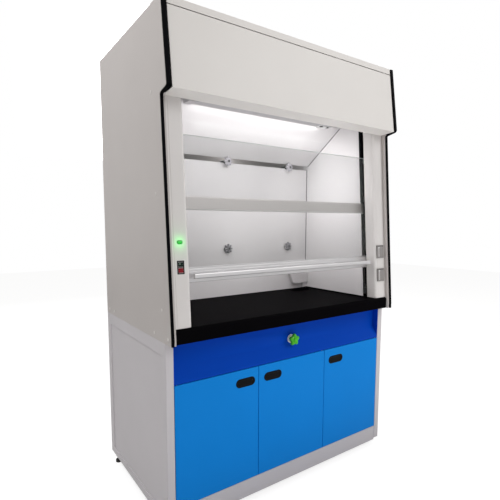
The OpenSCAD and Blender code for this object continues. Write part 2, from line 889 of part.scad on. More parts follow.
module upper_baffle() {
    edge = liner_x - panel_fit;
    rise = upper_top - upper_foot;
    color(white_paint) translate([0, upper_foot[0], upper_foot[1]])
        rotate([-atan2(rise[1], -rise[0]), 0, 0])
            box([-edge, -norm(rise), 0], [edge, 0, liner_t]);
}

module ceiling() {
    edge = liner_x + liner_t;
    color(white_paint) difference() {
        box([-edge, ceiling_front, ceiling_z], [edge, back_in, ceiling_z + liner_t]);
        translate([0, collar_y, ceiling_z - 1]) cylinder(r = collar_r, h = liner_t + 2, $fn = 96);
    }
}

sleeve_r = 11;
sleeve_l = 70;
stud_r = 6;
thread_r = 4;
knob_t = 16;
knob_gap = 1.5;
// The upper knobs clear the sloping underside of the upper baffle
knob_high = baffle_top + knob_rise;
upper_lean = (upper_foot[0] - upper_top[0]) / (upper_top[1] - upper_foot[1]);
behind_top = max(0, knob_high + knob_d / 2 - upper_foot[1]) * upper_lean;
knob_back_high = upper_foot[0] - behind_top - knob_gap;
knob_back_low = baffle_y - 4;
// Baffle knobs as [x, back, z]: two in front of the slot, two through the lower baffle
knob_rows = [[knob_shift, knob_back_high, knob_high], [0, knob_back_low, counter_z + knob_low]];
knob_spots = [for (row = knob_rows)
    for (x = [-knob_left, liner_x - knob_right]) [x - row[0], row[1], row[2]]];

// Studs from the back panel, each with a spacer sleeve behind its knob
module baffle_studs() {
    color(black_paint) for (p = knob_spots) translate([p[0], 0, p[2]]) {
        rod_y(stud_r, baffle_y, back_in);
        rod_y(sleeve_r, p[1], p[1] + sleeve_l);
        rod_y(thread_r, p[1] - knob_t, p[1]);
    }
}

module baffle_knob(i) {
    color(grey_plastic) translate(knob_spots[i]) difference() {
        star_knob(knob_d, 8, knob_t);
        rod_y(thread_r + run_fit, -knob_t - 5, 1);
    }
}

module baffle_knob_1() { baffle_knob(0); }
module baffle_knob_2() { baffle_knob(1); }
module baffle_knob_3() { baffle_knob(2); }
module baffle_knob_4() { baffle_knob(3); }

// Housing in front of the tube, with a holder at each end of it and two hangers to the ceiling
module lamp_housing() {
    housing_end = lamp_half - 45;
    hanger_w = 40;
    hanger_x = lamp_half - 200;
    holder_y = lamp_y + 30;
    color(grey_plastic) difference() {
        union() {
            box([-housing_end, lamp_y, lamp_z], [housing_end, lamp_y + lamp_d, lamp_z + lamp_h]);
            both_sides() {
                box([housing_end - 1, holder_y, lamp_z],
                    [lamp_half - holder_w, lamp_y + lamp_d, lamp_z + holder_h]);
                box([lamp_half - 2 * holder_w, holder_y, lamp_z],
                    [lamp_half, lamp_back, lamp_z + holder_h]);
                box([hanger_x, lamp_y + 20, lamp_z + lamp_h - 1],
                    [hanger_x + hanger_w, lamp_y + 50, ceiling_z]);
            }
        }
        translate([0, tube_y, tube_z]) rod_x(tube_r, -tube_end, tube_end);
    }
}

module lamp_tube() {
    color("white") translate([0, tube_y, tube_z]) rod_x(tube_r, -tube_end, tube_end);
}

// Tapered wall block and leg in the back right corner, with a spout over the drip cup
module water_outlet() {
    leg_set = 10;
    leg_d = outlet_d - leg_set;
    leg_w = 40;
    low = surface_z + outlet_up;
    high = low + outlet_h;
    right = liner_x - panel_fit;
    spout_r = 9;
    spout_l = 50;
    spout_drop = 30;
    spout_y = baffle_y - outlet_d - spout_l;
    spout_z = high - outlet_h / 6;
    color(white_paint) {
        translate([0, baffle_y, 0]) rotate([90, 0, 0]) linear_extrude(outlet_d)
            polygon([[right - outlet_low_w, low], [right, low], [right, high],
                     [right - outlet_high_w, high]]);
        box([right - leg_w, baffle_y - leg_d, rim_z], [right, baffle_y, low]);
        translate([cup_x, 0, spout_z]) rod_y(spout_r, spout_y, baffle_y - outlet_d);
        translate([cup_x, spout_y, spout_z - spout_drop])
            cylinder(r = spout_r, h = spout_drop + spout_r);
    }
}

// ---- Sash, fixed glass and channels ----

sash_n = post_back + 1 + sash_t / 2;
sash_low = slope_at(rim_z + 3, sash_n) + sash_lift;
sash_top = sash_low + sash_h;
channel_x = liner_x + 1;
channel_t = 3;
channel_w = 18;
sash_edge = channel_x + channel_w - channel_t - 2;
fixed_n = post_back + 24;
gasket_x = liner_x - 5;

module sash_channels() {
    low = slope_at(rim_z, post_back) + 3;
    high = slope_at(ceiling_z, post_back) - 3;
    outer = channel_x + channel_w;
    rear_n = sash_n + sash_t / 2 + 1;
    wall_top = sash_top - sash_lift - 60;
    gasket_low = fixed_low + fixed_rail_h + 6;
    color(black_paint) both_sides() on_front() {
        box([channel_x, rear_n, low], [outer, rear_n + channel_t, high]);
        box([outer - channel_t, post_back, low], [outer, rear_n + channel_t, wall_top]);
        box([gasket_x, rear_n, gasket_low], [channel_x, post_back + 34, high]);
    }
}

module sash_glass() {
    color(clear) on_front() box([-sash_edge, sash_n - glass_t / 2, sash_low + 12],
                                [sash_edge, sash_n + glass_t / 2, sash_top]);
}

module sash_rail() {
    color([0.82, 0.82, 0.83]) on_front() difference() {
        box([-sash_edge, sash_n - sash_t / 2, sash_low],
            [sash_edge, sash_n + sash_t / 2, sash_low + sash_rail_h]);
        box([-sash_edge - 1, sash_n - glass_t / 2, sash_low + 12],
            [sash_edge + 1, sash_n + glass_t / 2, sash_low + sash_rail_h + 1]);
    }
}

bar_n = post_set + 19;
bar_s = sash_low + 31;
bar_half = liner_x - 34;
// Distance of each bracket's middle from its end of the bar
bracket_left = 171;
bracket_right = 268;
bracket_x = [-bar_half + bracket_left, bar_half - bracket_right];

module sash_handle() {
    round_r = 5;
    bracket_w = 26;
    rail_n = sash_n - sash_t / 2;
    color([0.85, 0.85, 0.86]) on_front() {
        bar_x(-bar_half, bar_half) polygon([for (c = [[1, 1, 0], [-1, 1, 90], [-1, -1, 180], [1, -1, 270]])
            for (a = [0 : 30 : 90])
                [bar_n + c[0] * (bar_d / 2 - round_r) + round_r * cos(a + c[2]),
                 bar_s + c[1] * (bar_h / 2 - round_r) + round_r * sin(a + c[2])]]);
        for (x = bracket_x) box([x - bracket_w / 2, bar_n + bar_d / 2 - 1, bar_s - 7],
                                [x + bracket_w / 2, rail_n, bar_s + 7]);
    }
}

arm_h = 34;
belt_x = post_low + 37;
clamp_gap = 0.5;
front_run_n = sash_n;
shaft_n = front_run_n + belt_r;
shaft_s = slope_at(hood_top, shaft_n) - 105;
idler_s = slope_at(rim_z, shaft_n) + 52;

// Arms that grip the glass's top corners and clamp the belts' front runs
module sash_arms() {
    color(steel) both_sides() on_front() difference() {
        box([channel_x + 0.5, sash_n - sash_t / 2, sash_top - arm_h],
            [belt_x + belt_w / 2 + 5, sash_n + sash_t / 2, sash_top]);
        box([channel_x, sash_n - glass_t / 2, sash_top - arm_h - 1],
            [sash_edge, sash_n + glass_t / 2, sash_top + 1]);
        box([belt_x - belt_w / 2 - clamp_gap, front_run_n - belt_t / 2 - clamp_gap, sash_top - arm_h - 1],
            [belt_x + belt_w / 2 + clamp_gap, front_run_n + belt_t / 2 + clamp_gap, sash_top + 1]);
    }
}

module fixed_glass() {
    color(clear) on_front() box([-gasket_x, fixed_n - glass_t / 2, fixed_low + 14],
                                [gasket_x, fixed_n + glass_t / 2, slope_at(ceiling_z, fixed_n) - 1]);
}

module fixed_glass_rail() {
    rail_d = 16;
    edge = channel_x + 10;
    color([0.7, 0.69, 0.68]) on_front() difference() {
        box([-edge, fixed_n - rail_d / 2, fixed_low], [edge, fixed_n + rail_d / 2, fixed_low + fixed_rail_h]);
        box([-gasket_x, fixed_n - glass_t / 2, fixed_low + 14],
            [gasket_x, fixed_n + glass_t / 2, fixed_low + fixed_rail_h + 1]);
    }
}

// ---- Sash drive ----

pulley_r = belt_r - belt_t / 2 - 0.3;
flange_r = belt_r + belt_t / 2 + 2;
flange_t = 2;

// Solid loop round the two pulley centres out to radius r, over the belt's width and past it
module loop(r, past) {
    x0 = belt_x - belt_w / 2 - past;
    x1 = belt_x + belt_w / 2 + past;
    translate([0, shaft_n, shaft_s]) rod_x(r, x0, x1);
    translate([0, shaft_n, idler_s]) rod_x(r, x0, x1);
    box([x0, shaft_n - r, idler_s], [x1, shaft_n + r, shaft_s]);
}

module drive_belts() {
    color(black_paint) both_sides() on_front() difference() {
        loop(belt_r + belt_t / 2, 0);
        loop(belt_r - belt_t / 2, 1);
    }
}

// Belt pulley with a flange at each edge, centred on the belt
module pulley() {
    x0 = belt_x - belt_w / 2 - 1;
    x1 = belt_x + belt_w / 2 + 1;
    rod_x(pulley_r, x0, x1);
    rod_x(flange_r, x0 - flange_t, x0);
    rod_x(flange_r, x1, x1 + flange_t);
}

bearing_x = belt_x + belt_w / 2 + 8;
axle_r = 6;

module cross_shaft() {
    color(steel) on_front() translate([0, shaft_n, shaft_s]) {
        rod_x(shaft_r, -inner_w + 8, inner_w - 8);
        both_sides() pulley();
    }
}

module idler_pulleys() {
    color(grey_plastic) on_front() translate([0, shaft_n, idler_s]) both_sides() difference() {
        pulley();
        rod_x(axle_r + run_fit, belt_x - belt_w, belt_x + belt_w);
    }
}

// Bearing blocks for the cross shaft and stub axles for the idlers, on the side panels
module drive_bearings() {
    block = 22;
    color(steel) both_sides() on_front() {
        translate([0, shaft_n, shaft_s]) difference() {
            box([bearing_x, -block, -block], [inner_w, block, block]);
            rod_x(shaft_r + run_fit, bearing_x - 1, inner_w - 6);
        }
        translate([0, shaft_n, idler_s]) {
            rod_x(axle_r, belt_x - belt_w / 2 - 4, inner_w);
            rod_x(axle_r + 4, bearing_x, inner_w);
        }
    }
}

// Counterweights clamped on the belts' back runs, low enough to leave the sash its travel
module counterweights() {
    back_run_n = shaft_n + belt_r;
    weight_w = 54;
    weight_d = 44;
    gap = 0.6;
    low = idler_s + flange_r + 4 + sash_rise;
    color(black_paint) both_sides() on_front() difference() {
        box([belt_x - weight_w / 2 + 6, back_run_n - weight_d / 2 + 2, low],
            [belt_x + weight_w / 2 + 6, back_run_n + weight_d / 2 + 2, low + weight_l]);
        box([belt_x - belt_w / 2 - gap, back_run_n - belt_t / 2 - gap, low - 1],
            [belt_x + belt_w / 2 + gap, back_run_n + belt_t / 2 + gap, low + weight_l + 1]);
    }
}

base_sides();
base_back();
base_floor();
base_dividers();
base_shelves();
plinth();
levelling_feet();
service_panel();
door_pivot_pins();
door_left();
door_middle();
door_right();
pull_left();
pull_middle();
pull_right();
worktop();
drip_cup();
hood_sides();
edge_trims();
post_left();
post_right();
fascia();
roof();
exhaust_collar();
back_panel();
side_liners();
lower_baffle();
upper_baffle();
ceiling();
baffle_studs();
baffle_knob_1();
baffle_knob_2();
baffle_knob_3();
baffle_knob_4();
lamp_housing();
lamp_tube();
fixed_glass();
fixed_glass_rail();
sash_channels();
sash_glass();
sash_rail();
sash_handle();
sash_arms();
drive_belts();
cross_shaft();
drive_bearings();
idler_pulleys();
counterweights();
side_screws();
valve_knob();
valve_plate();
valve_body();
water_outlet();
indicator_light();
switch_bezel();
rocker_upper();
rocker_lower();
socket_bodies();
socket_cover_upper();
socket_cover_lower();
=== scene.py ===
"""Looks of a laboratory fume hood: finishes, fittings, light and camera over the CAD frame."""
import json
import math

import bmesh
import bpy
from bpy.props import FloatProperty, FloatVectorProperty, PointerProperty
from mathutils import Euler, Matrix, Vector
from mathutils.bvhtree import BVHTree


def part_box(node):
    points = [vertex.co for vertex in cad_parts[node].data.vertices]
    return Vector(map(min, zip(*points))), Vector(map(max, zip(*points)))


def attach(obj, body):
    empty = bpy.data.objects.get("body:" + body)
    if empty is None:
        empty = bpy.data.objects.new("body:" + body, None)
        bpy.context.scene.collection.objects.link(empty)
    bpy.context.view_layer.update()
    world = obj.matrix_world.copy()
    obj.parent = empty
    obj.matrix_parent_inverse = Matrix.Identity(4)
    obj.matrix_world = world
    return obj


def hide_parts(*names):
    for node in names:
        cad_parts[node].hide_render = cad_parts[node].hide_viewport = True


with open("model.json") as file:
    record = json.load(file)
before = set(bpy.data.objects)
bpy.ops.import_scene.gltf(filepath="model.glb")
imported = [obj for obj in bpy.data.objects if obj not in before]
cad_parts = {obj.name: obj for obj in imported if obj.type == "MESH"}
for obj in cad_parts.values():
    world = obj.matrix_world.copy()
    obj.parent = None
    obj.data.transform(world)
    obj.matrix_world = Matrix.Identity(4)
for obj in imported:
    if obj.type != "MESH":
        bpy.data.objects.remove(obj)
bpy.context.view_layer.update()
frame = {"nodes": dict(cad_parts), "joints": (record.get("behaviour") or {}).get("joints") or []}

bl_info = {
    "name": "Fume Hood Dresser",
    "version": (1, 0, 0),
    "blender": (4, 5, 0),
    "location": "View3D > Sidebar > Fume Hood",
    "description": "Finishes, fittings, light and camera for a laboratory fume hood",
    "category": "Object",
}

MM = 0.001

# ---- Camera and image points ----

CAMERA_PLACE = (-1.4789, -1.9824, 1.4287)
CAMERA_TURN = (84.30, 0.1194, -33.8419)
CAMERA_LENS = 29.56
SENSOR_WIDTH = 36.0
SHIFT_X = 0.0364
SHIFT_Y = 0.0322
PHOTO_W = 500
PHOTO_H = 500

# Where the photograph shows each thing, in pixels from its top left corner
IMAGE_POINTS = {
    "left_edge": (99.8, None),
    "right_edge": (397.3, None),
    "indicator_light": (179.7, 242.2),
    "rocker_upper": (180.2, 263.8),
    "rocker_lower": (180.4, 270.4),
    "upper_socket": (379.9, 251.3),
    "lower_socket": (380.2, 275.4),
    "pull_left": (245.5, 381.9),
    "pull_middle": (272.4, 375.0),
    "pull_right": (334.5, 358.5),
    "valve_knob": (293.6, 338.9),
    "upper_left_baffle_knob": (227.1, 160.7),
    "upper_right_baffle_knob": (288.9, 167.1),
    "lower_left_baffle_knob": (228.4, 248.4),
    "lower_right_baffle_knob": (287.6, 245.7),
    "lamp_clip": (322.3, 126.4),
    "pilot_dot": (179.9, 264.0),
}


def linear(hex_colour):
    """The linear colour of an sRGB hex value."""
    channels = [int(hex_colour[i:i + 2], 16) / 255 for i in (0, 2, 4)]
    return [c / 12.92 if c <= 0.04045 else ((c + 0.055) / 1.055) ** 2.4 for c in channels]


def paint(label, hex_colour):
    """A colour property with its default."""
    return FloatVectorProperty(name=label, description=label + " colour", subtype="COLOR",
                               size=3, min=0, max=1, default=linear(hex_colour))


def length(label, millimetres, words):
    """A length property with its default in millimetres."""
    return FloatProperty(name=label, description=words, subtype="DISTANCE", unit="LENGTH",
                         min=0, default=millimetres * MM)


class HoodColours(bpy.types.PropertyGroup):
    """Colours of the hood's finishes"""

    # Side panels: a darker copy of the fascia's white coat, as painted shade for the side that
    # faces away from the light
    side: paint("Side panels", "c3bdba")
    front: paint("Fascia and roof", "e6e2de")
    # Posts: a slightly darker copy of the fascia's white coat, as painted shade on the posts below
    # the fascia
    post: paint("Posts", "dedad8")
    base: paint("Cabinet", "cecacd")
    trim: paint("Edge trim", "08080b")
    door: paint("Doors", "1085dd")
    service: paint("Service panel", "0243b4")
    worktop: paint("Worktop", "09080a")
    liner: paint("Liner", "e9e6e7")
    socket: paint("Sockets", "8f8b89")
    valve: paint("Valve knob", "4ab81c")
    light: paint("Indicator light", "14d63c")


class HoodSizes(bpy.types.PropertyGroup):
    """Sizes of what the looks add to the hood"""

    sheet_edge: length("Sheet edge", 1.2, "Radius of the folded sheet's edges")
    board_edge: length("Board edge", 1.5, "Radius of the doors' and cabinet's edges")
    screw_dome: length("Screw head", 7.0, "Radius of a side screw's head")
    cover_sheet: length("Cover sheet", 1.0, "Thickness of the covers on the posts and back")
    seal_width: length("Seal", 5.0, "Width of the sealant in the liner's corners")


# ---- Materials ----

def add(tree, kind, inputs=None, **settings):
    """Adds one shader node, with its settings, its values and its links."""
    made = tree.nodes.new("ShaderNode" + kind)
    for name, value in settings.items():
        setattr(made, name, value)
    for name, value in (inputs or {}).items():
        if isinstance(value, bpy.types.NodeSocket):
            tree.links.new(value, made.inputs[name])
        else:
            made.inputs[name].default_value = value
    return made


def empty_tree(owner):
    """The node tree of a material or world, switched on and emptied."""
    owner.use_nodes = True
    owner.node_tree.nodes.clear()
    return owner.node_tree


def shade(colour, factor):
    """A colour made lighter or darker, as four channels."""
    return [min(1.0, c * factor) for c in colour[:3]] + [1.0]


GLOSS_DRIFT = 0.06
BUMP_STRENGTH = 0.6


def finished(name, colour, roughness, grain_mm, relief_mm, mottle=0.04, patch_mm=240.0,
             stretch=(1.0, 1.0, 1.0), ior=1.5, sheen=0.5, metallic=0.0, **sockets):
    """Material whose colour drifts over patches and whose gloss and height follow a fine grain."""
    made = bpy.data.materials.new(name)
    tree = empty_tree(made)
    place = add(tree, "TexCoord").outputs["Object"]
    along = add(tree, "Mapping", {"Vector": place, "Scale": stretch}).outputs["Vector"]
    patches = add(tree, "TexNoise", {"Vector": place, "Scale": 1 / (patch_mm * MM),
                                     "Detail": 3.0}).outputs["Fac"]
    grain = add(tree, "TexNoise", {"Vector": along, "Scale": 1 / (grain_mm * MM),
                                   "Detail": 2.0}).outputs["Fac"]
    # Inputs 0, 6 and 7 of a colour mix are its factor and its two colours; output 2 is the result
    drift = add(tree, "Mix", {0: patches, 6: shade(colour, 1 - mottle),
                              7: shade(colour, 1 + mottle)}, data_type="RGBA").outputs[2]
    fleck = add(tree, "MapRange", {"Value": grain, "To Min": 1 - mottle / 2,
                                   "To Max": 1 + mottle / 2}).outputs["Result"]
    tint = add(tree, "Mix", {0: 1.0, 6: drift, 7: fleck}, data_type="RGBA",
               blend_type="MULTIPLY").outputs[2]
    gloss = add(tree, "MapRange", {"Value": grain, "To Min": roughness - GLOSS_DRIFT,
                                   "To Max": roughness + GLOSS_DRIFT}).outputs["Result"]
    bump = add(tree, "Bump", {"Height": grain, "Distance": relief_mm * MM,
                              "Strength": BUMP_STRENGTH}).outputs["Normal"]
    shader = add(tree, "BsdfPrincipled", {
        "Base Color": tint, "Roughness": gloss, "Normal": bump, "IOR": ior,
        "Specular IOR Level": sheen, "Metallic": metallic, **sockets})
    add(tree, "OutputMaterial", {"Surface": shader.outputs[0]})
    return made


def powder_coat(name, colour, sheen=0.3):
    # Polyester powder baked on sheet steel: satin, with the soft dimples of orange peel, which are
    # drawn at 3 mm so that they still show at arm's length
    return finished(name, colour, roughness=0.42, grain_mm=3.0, relief_mm=0.05, mottle=0.03,
                    sheen=sheen)


def pressed_laminate(name, colour):
    # Melamine laminate pressed against a fine matt plate: an even colour under a low, pebbled sheen
    return finished(name, colour, roughness=0.42, grain_mm=1.2, relief_mm=0.04, mottle=0.05,
                    patch_mm=400.0, sheen=0.05)


def cast_epoxy(name, colour):
    # Filled epoxy resin cast in a mould and rubbed down: near black, with a slate-like grain and
    # faint wiping marks
    return finished(name, colour, roughness=0.5, grain_mm=0.9, relief_mm=0.06, mottle=0.22,
                    patch_mm=90.0, ior=1.55, sheen=0.004)


def phenolic_liner(name, colour):
    # Smooth white phenolic board: a clean satin face that passes the lamp's light down the walls
    return finished(name, colour, roughness=0.34, grain_mm=2.0, relief_mm=0.02, mottle=0.02)


def anodised_aluminium(name, colour):
    # Extruded and satin anodised: fine die lines run along the bar and stretch its highlights
    return finished(name, colour, roughness=0.34, grain_mm=0.8, relief_mm=0.03, mottle=0.05,
                    stretch=(0.02, 1.0, 1.0), metallic=0.85)


def zinc_plate(name):
    # Bright zinc on pressed steel: cool grey with cloudy patches
    return finished(name, linear("b4b6ba"), roughness=0.32, grain_mm=6.0, relief_mm=0.01,
                    mottle=0.08, patch_mm=30.0, metallic=1.0)


def machined_brass(name):
    # Turned valve brass left bare: warm yellow with fine turning marks
    return finished(name, linear("c9a45a"), roughness=0.28, grain_mm=0.6, relief_mm=0.02,
                    mottle=0.06, patch_mm=25.0, metallic=1.0)


def painted_iron(name):
    # Cast iron weight, brushed with black paint: pitted under a dull coat
    return finished(name, linear("202124"), roughness=0.6, grain_mm=2.5, relief_mm=0.3,
                    mottle=0.15, patch_mm=40.0)


def moulded_plastic(name, colour, roughness=0.4, sheen=0.4):
    # ABS or nylon moulding with a spark-eroded texture: even colour and a broken-up sheen
    return finished(name, colour, roughness=roughness, grain_mm=0.8, relief_mm=0.04, mottle=0.06,
                    patch_mm=40.0, ior=1.46, sheen=sheen)


def rubber(name):
    # Vulcanised rubber: dull, slightly grey black
    return finished(name, linear("151515"), roughness=0.7, grain_mm=1.5, relief_mm=0.08,
                    mottle=0.1, patch_mm=30.0, ior=1.52)


def sealant(name):
    # Grey silicone run into the corner joints: soft, with a slight ripple from the finger
    return finished(name, linear("7d797b"), roughness=0.5, grain_mm=8.0, relief_mm=0.3,
                    mottle=0.1, patch_mm=30.0, ior=1.41)


def frosted_tube(name):
    # Frosted cover over a strip of diodes that throws its light away from the opening: a grey glow
    return finished(name, linear("b4b2b1"), roughness=0.5, grain_mm=1.0, relief_mm=0.01,
                    mottle=0.01, **{"Emission Color": (1.0, 0.98, 0.97, 1.0),
                                    "Emission Strength": 0.16})


def lit_lens(name, colour, strength):
    # Dark tinted polycarbonate with a lamp behind it: the lamp gives the colour, not the surface
    return finished(name, shade(colour, 0.12), roughness=0.15, grain_mm=1.0, relief_mm=0.01,
                    mottle=0.05, patch_mm=10.0,
                    **{"Emission Color": shade(colour, 1.0), "Emission Strength": strength,
                       "Coat Weight": 0.6})


def laminated_glass(name, alpha):
    # Two panes bonded by a clear film: they take a little of the light behind them and mirror a
    # little at a glance, so what shows through them is greyer
    return finished(name, linear("6d7270"), roughness=0.08, grain_mm=60.0, relief_mm=0.002,
                    mottle=0.03, ior=1.52, Alpha=alpha)


def edge_tint_and_highlight(name):
    # Ground glass edge given a polish: pale green-white, partly the glass's own tint and partly a
    # painted highlight for the light it gathers along the pane
    return finished(name, linear("c9cecb"), roughness=0.2, grain_mm=4.0, relief_mm=0.01,
                    mottle=0.05, patch_mm=60.0, ior=1.52, sheen=0.2)


# Finishes that several steps share: the maker and what it is given
SHARED = {
    "Zinc plate": (zinc_plate,),
    "Black rubber": (rubber,),
    "White moulding": (moulded_plastic, linear("f2f2f2"), 0.3),
    "Dark insert": (moulded_plastic, linear("2c2a2e"), 0.4),
    "Switch plastic": (moulded_plastic, linear("0c0c0e"), 0.4, 0.12),
}


def finish_of(name, *recipe):
    """The material of that name, made once from its recipe or from the shared one."""
    make, *details = recipe or SHARED[name]
    return bpy.data.materials.get(name) or make(name, *details)


# ---- Building ----

def joint(name):
    """The record of one joint of the frame."""
    return next(j for j in frame["joints"] if j["name"] == name)


# The front leans back with the sash's slide
SLIDE_AXIS = joint("sash_slide")["axis"]
TO_WORLD = Matrix.Rotation(-math.atan2(SLIDE_AXIS[1], SLIDE_AXIS[2]), 4, "X")
TO_LEAN = TO_WORLD.inverted()


def lean_box(node):
    """Lowest and highest corner of a CAD node in axes that lean back with the hood's front."""
    points = [TO_LEAN @ v.co for v in frame["nodes"][node].data.vertices]
    return (Vector([min(p[i] for p in points) for i in range(3)]),
            Vector([max(p[i] for p in points) for i in range(3)]))


def dress(node, material, edge=0.0):
    """Gives a CAD node its material, smooth curves and rounded edges."""
    part = frame["nodes"][node]
    mesh = part.data
    mesh.materials.clear()
    mesh.materials.append(material)
    if "custom_normal" in mesh.attributes:
        mesh.attributes.remove(mesh.attributes["custom_normal"])
    mesh.shade_smooth()
    weld = part.modifiers.new("Join corners", "WELD")
    weld.merge_threshold = 0.01 * MM
    flat = part.modifiers.new("Join flat faces", "DECIMATE")
    flat.decimate_type = "DISSOLVE"
    flat.angle_limit = math.radians(0.5)
    if edge:
        bevel = part.modifiers.new("Round edges", "BEVEL")
        bevel.limit_method = "ANGLE"
        bevel.angle_limit = math.radians(40)
        bevel.width = edge
        bevel.segments = 3
        bevel.use_clamp_overlap = False
        bevel.loop_slide = False
        flat_faces = part.modifiers.new("Keep flat faces flat", "WEIGHTED_NORMAL")
        flat_faces.keep_sharp = True
    else:
        split = part.modifiers.new("Keep sharp edges", "EDGE_SPLIT")
        split.split_angle = math.radians(38)


def placed(name, data):
    """A new object that shows some data in the scene."""
    made = bpy.data.objects.new(name, data)
    bpy.context.scene.collection.objects.link(made)
    return made


def piece(name, verts, faces, material, body, replaced=(), angle=35, matrix=None):
    """A new mesh piece that rides on a body and may stand for CAD nodes."""
    mesh = bpy.data.meshes.new(name)
    mesh.from_pydata([tuple(matrix @ Vector(v)) if matrix else tuple(v) for v in verts], [], faces)
    work = bmesh.new()
    work.from_mesh(mesh)
    bmesh.ops.remove_doubles(work, verts=work.verts, dist=0.001 * MM)
    bmesh.ops.recalc_face_normals(work, faces=work.faces)
    work.to_mesh(mesh)
    work.free()
    mesh.materials.append(material)
    mesh.shade_smooth()
    mesh.set_sharp_from_angle(angle=math.radians(angle))
    made = placed(name, mesh)
    flat_faces = made.modifiers.new("Keep flat faces flat", "WEIGHTED_NORMAL")
    flat_faces.keep_sharp = True
    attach(made, body)
    if replaced:
        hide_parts(*replaced)
    return made


def loft(rings, closed=False):
    """Vertices and faces of a skin over rings of equal count, with end caps unless closed."""
    count = len(rings[0])
    verts = [v for ring in rings for v in ring]
    faces = []
    last = len(rings) if closed else len(rings) - 1
    for r in range(last):
        low, high = r * count, (r + 1) % len(rings) * count
        faces += [(low + i, low + (i + 1) % count, high + (i + 1) % count, high + i)
                  for i in range(count)]
    if not closed:
        faces.append(tuple(range(count)))
        faces.append(tuple(range((len(rings) - 1) * count, len(rings) * count)))
    return verts, faces


def in_mm(*pairs):
    """Pairs of millimetres as metres."""
    return [(a * MM, b * MM) for a, b in pairs]


def joined(parts):
    """Several (verts, faces) as one."""
    verts, faces = [], []
    for part_verts, part_faces in parts:
        start = len(verts)
        verts += [tuple(v) for v in part_verts]
        faces += [tuple(start + i for i in f) for f in part_faces]
    return verts, faces


def rounded_block(low, high, radius, steps=3):
    """A box with rounded edges, as (verts, faces)."""
    work = bmesh.new()
    bmesh.ops.create_cube(work, size=1.0)
    for v in work.verts:
        for i in range(3):
            v.co[i] = low[i] if v.co[i] < 0 else high[i]
    if radius:
        bmesh.ops.bevel(work, geom=work.edges[:], offset=radius, segments=steps, profile=0.5,
                        affect="EDGES", clamp_overlap=True)
    work.verts.index_update()
    result = ([v.co.copy() for v in work.verts], [[v.index for v in f.verts] for f in work.faces])
    work.free()
    return result


def turned(profile, centre, axis, steps=40):
    """A lathe-turned form: (radius, height) pairs about an axis through centre."""
    turn = Vector((0, 0, 1)).rotation_difference(Vector(axis)).to_matrix()
    rings = []
    for radius, height in profile:
        rings.append([Vector(centre) + turn @ Vector((max(radius, 1e-5) * math.cos(a),
                                                      max(radius, 1e-5) * math.sin(a), height))
                      for a in (2 * math.pi * k / steps for k in range(steps))])
    return loft(rings)


def rounded_outline(corners, radius, steps=4):
    """A closed 2D outline with its corners rounded."""
    points = []
    count = len(corners)
    for i, corner in enumerate(corners):
        here = Vector(corner[:2])
        r = corner[2] if len(corner) > 2 else radius
        before = (Vector(corners[i - 1][:2]) - here).normalized()
        after = (Vector(corners[(i + 1) % count][:2]) - here).normalized()
        half = before.angle(after) / 2
        if r <= 0 or half > math.radians(89):
            points.append(here)
            continue
        reach = r / math.tan(half)
        start, end = here + before * reach, here + after * reach
        middle = here + (before + after).normalized() * (r / math.sin(half))
        a0 = math.atan2(start.y - middle.y, start.x - middle.x)
        a1 = math.atan2(end.y - middle.y, end.x - middle.x)
        sweep = (a1 - a0 + math.pi) % (2 * math.pi) - math.pi
        points += [middle + r * Vector((math.cos(a0 + sweep * k / steps),
                                        math.sin(a0 + sweep * k / steps)))
                   for k in range(steps + 1)]
    return points


def bar(outline, x0, x1, chamfer=0.0):
    """A bar along X with a (y, z) outline and slightly drawn-in ends."""
    centre = sum((Vector(p) for p in outline), Vector((0, 0))) / len(outline)
    size = max((Vector(p) - centre).length for p in outline)
    stations = [(x0, 0), (x1, 0)]
    if chamfer:
        stations = [(x0, chamfer), (x0 + chamfer, 0), (x1 - chamfer, 0), (x1, chamfer)]
    rings = []
    for x, inset in stations:
        scale = 1 - inset / size
        rings.append([Vector((x, *(centre + (Vector(p) - centre) * scale))) for p in outline])
    return loft(rings)


def stadium(width, height, inset, steps=12):
    """Points round a slot shape in X and Z, moved inward by inset."""
    radius = height / 2 - inset
    straight = (width - height) / 2
    points = []
    for side, start in ((1, -90), (-1, 90)):
        for k in range(steps + 1):
            a = math.radians(start + 180 * k / steps)
            points.append((side * straight + radius * math.cos(a), radius * math.sin(a)))
    return points


def slot_form(rings, width, height, centre):
    """Skin over slot-shaped rings given as (inset, y), about a centre."""
    return loft([[Vector(centre) + Vector((x, y, z)) for x, z in stadium(width, height, inset)]
                 for inset, y in rings])


def star_form(width, lobes, notch, rings, centre):
    """A lobed knob pointing to the front: rings are (inset, height in front of the seat)."""
    turns = [2 * math.pi * k / (lobes * 12) for k in range(lobes * 12)]
    shape = []
    for inset, height in rings:
        ring = []
        for a in turns:
            radius = max(width / 2 - notch / 2 * (1 - math.cos(lobes * a)) - inset, 0.2 * MM)
            edge = Vector((radius * math.sin(a), -height, radius * math.cos(a)))
            ring.append(Vector(centre) + edge)
        shape.append(ring)
    return loft(shape)


def rail_corners(low, high, lip, shoulder):
    """Outline of a rail whose upper edge steps back by 3 mm, between lip and shoulder down."""
    back = low.y + 3 * MM
    return [(low.y, low.z, 2 * MM), (high.y, low.z, 2 * MM), (high.y, high.z, 1 * MM),
            (back, high.z, 1 * MM), (back, high.z - lip, 0.5 * MM),
            (low.y, high.z - shoulder, 1 * MM)]


def finished_shape(item):
    """Vertices and faces of an object with its modifiers, in the frame's axes."""
    shown = item.evaluated_get(bpy.context.evaluated_depsgraph_get())
    mesh = shown.to_mesh()
    shape = ([shown.matrix_world @ v.co for v in mesh.vertices],
             [tuple(f.vertices) for f in mesh.polygons])
    shown.to_mesh_clear()
    return shape


def camera_matrix():
    """Where the camera stands and how it is turned."""
    turn = Euler([math.radians(a) for a in CAMERA_TURN]).to_matrix().to_4x4()
    return Matrix.Translation(CAMERA_PLACE) @ turn


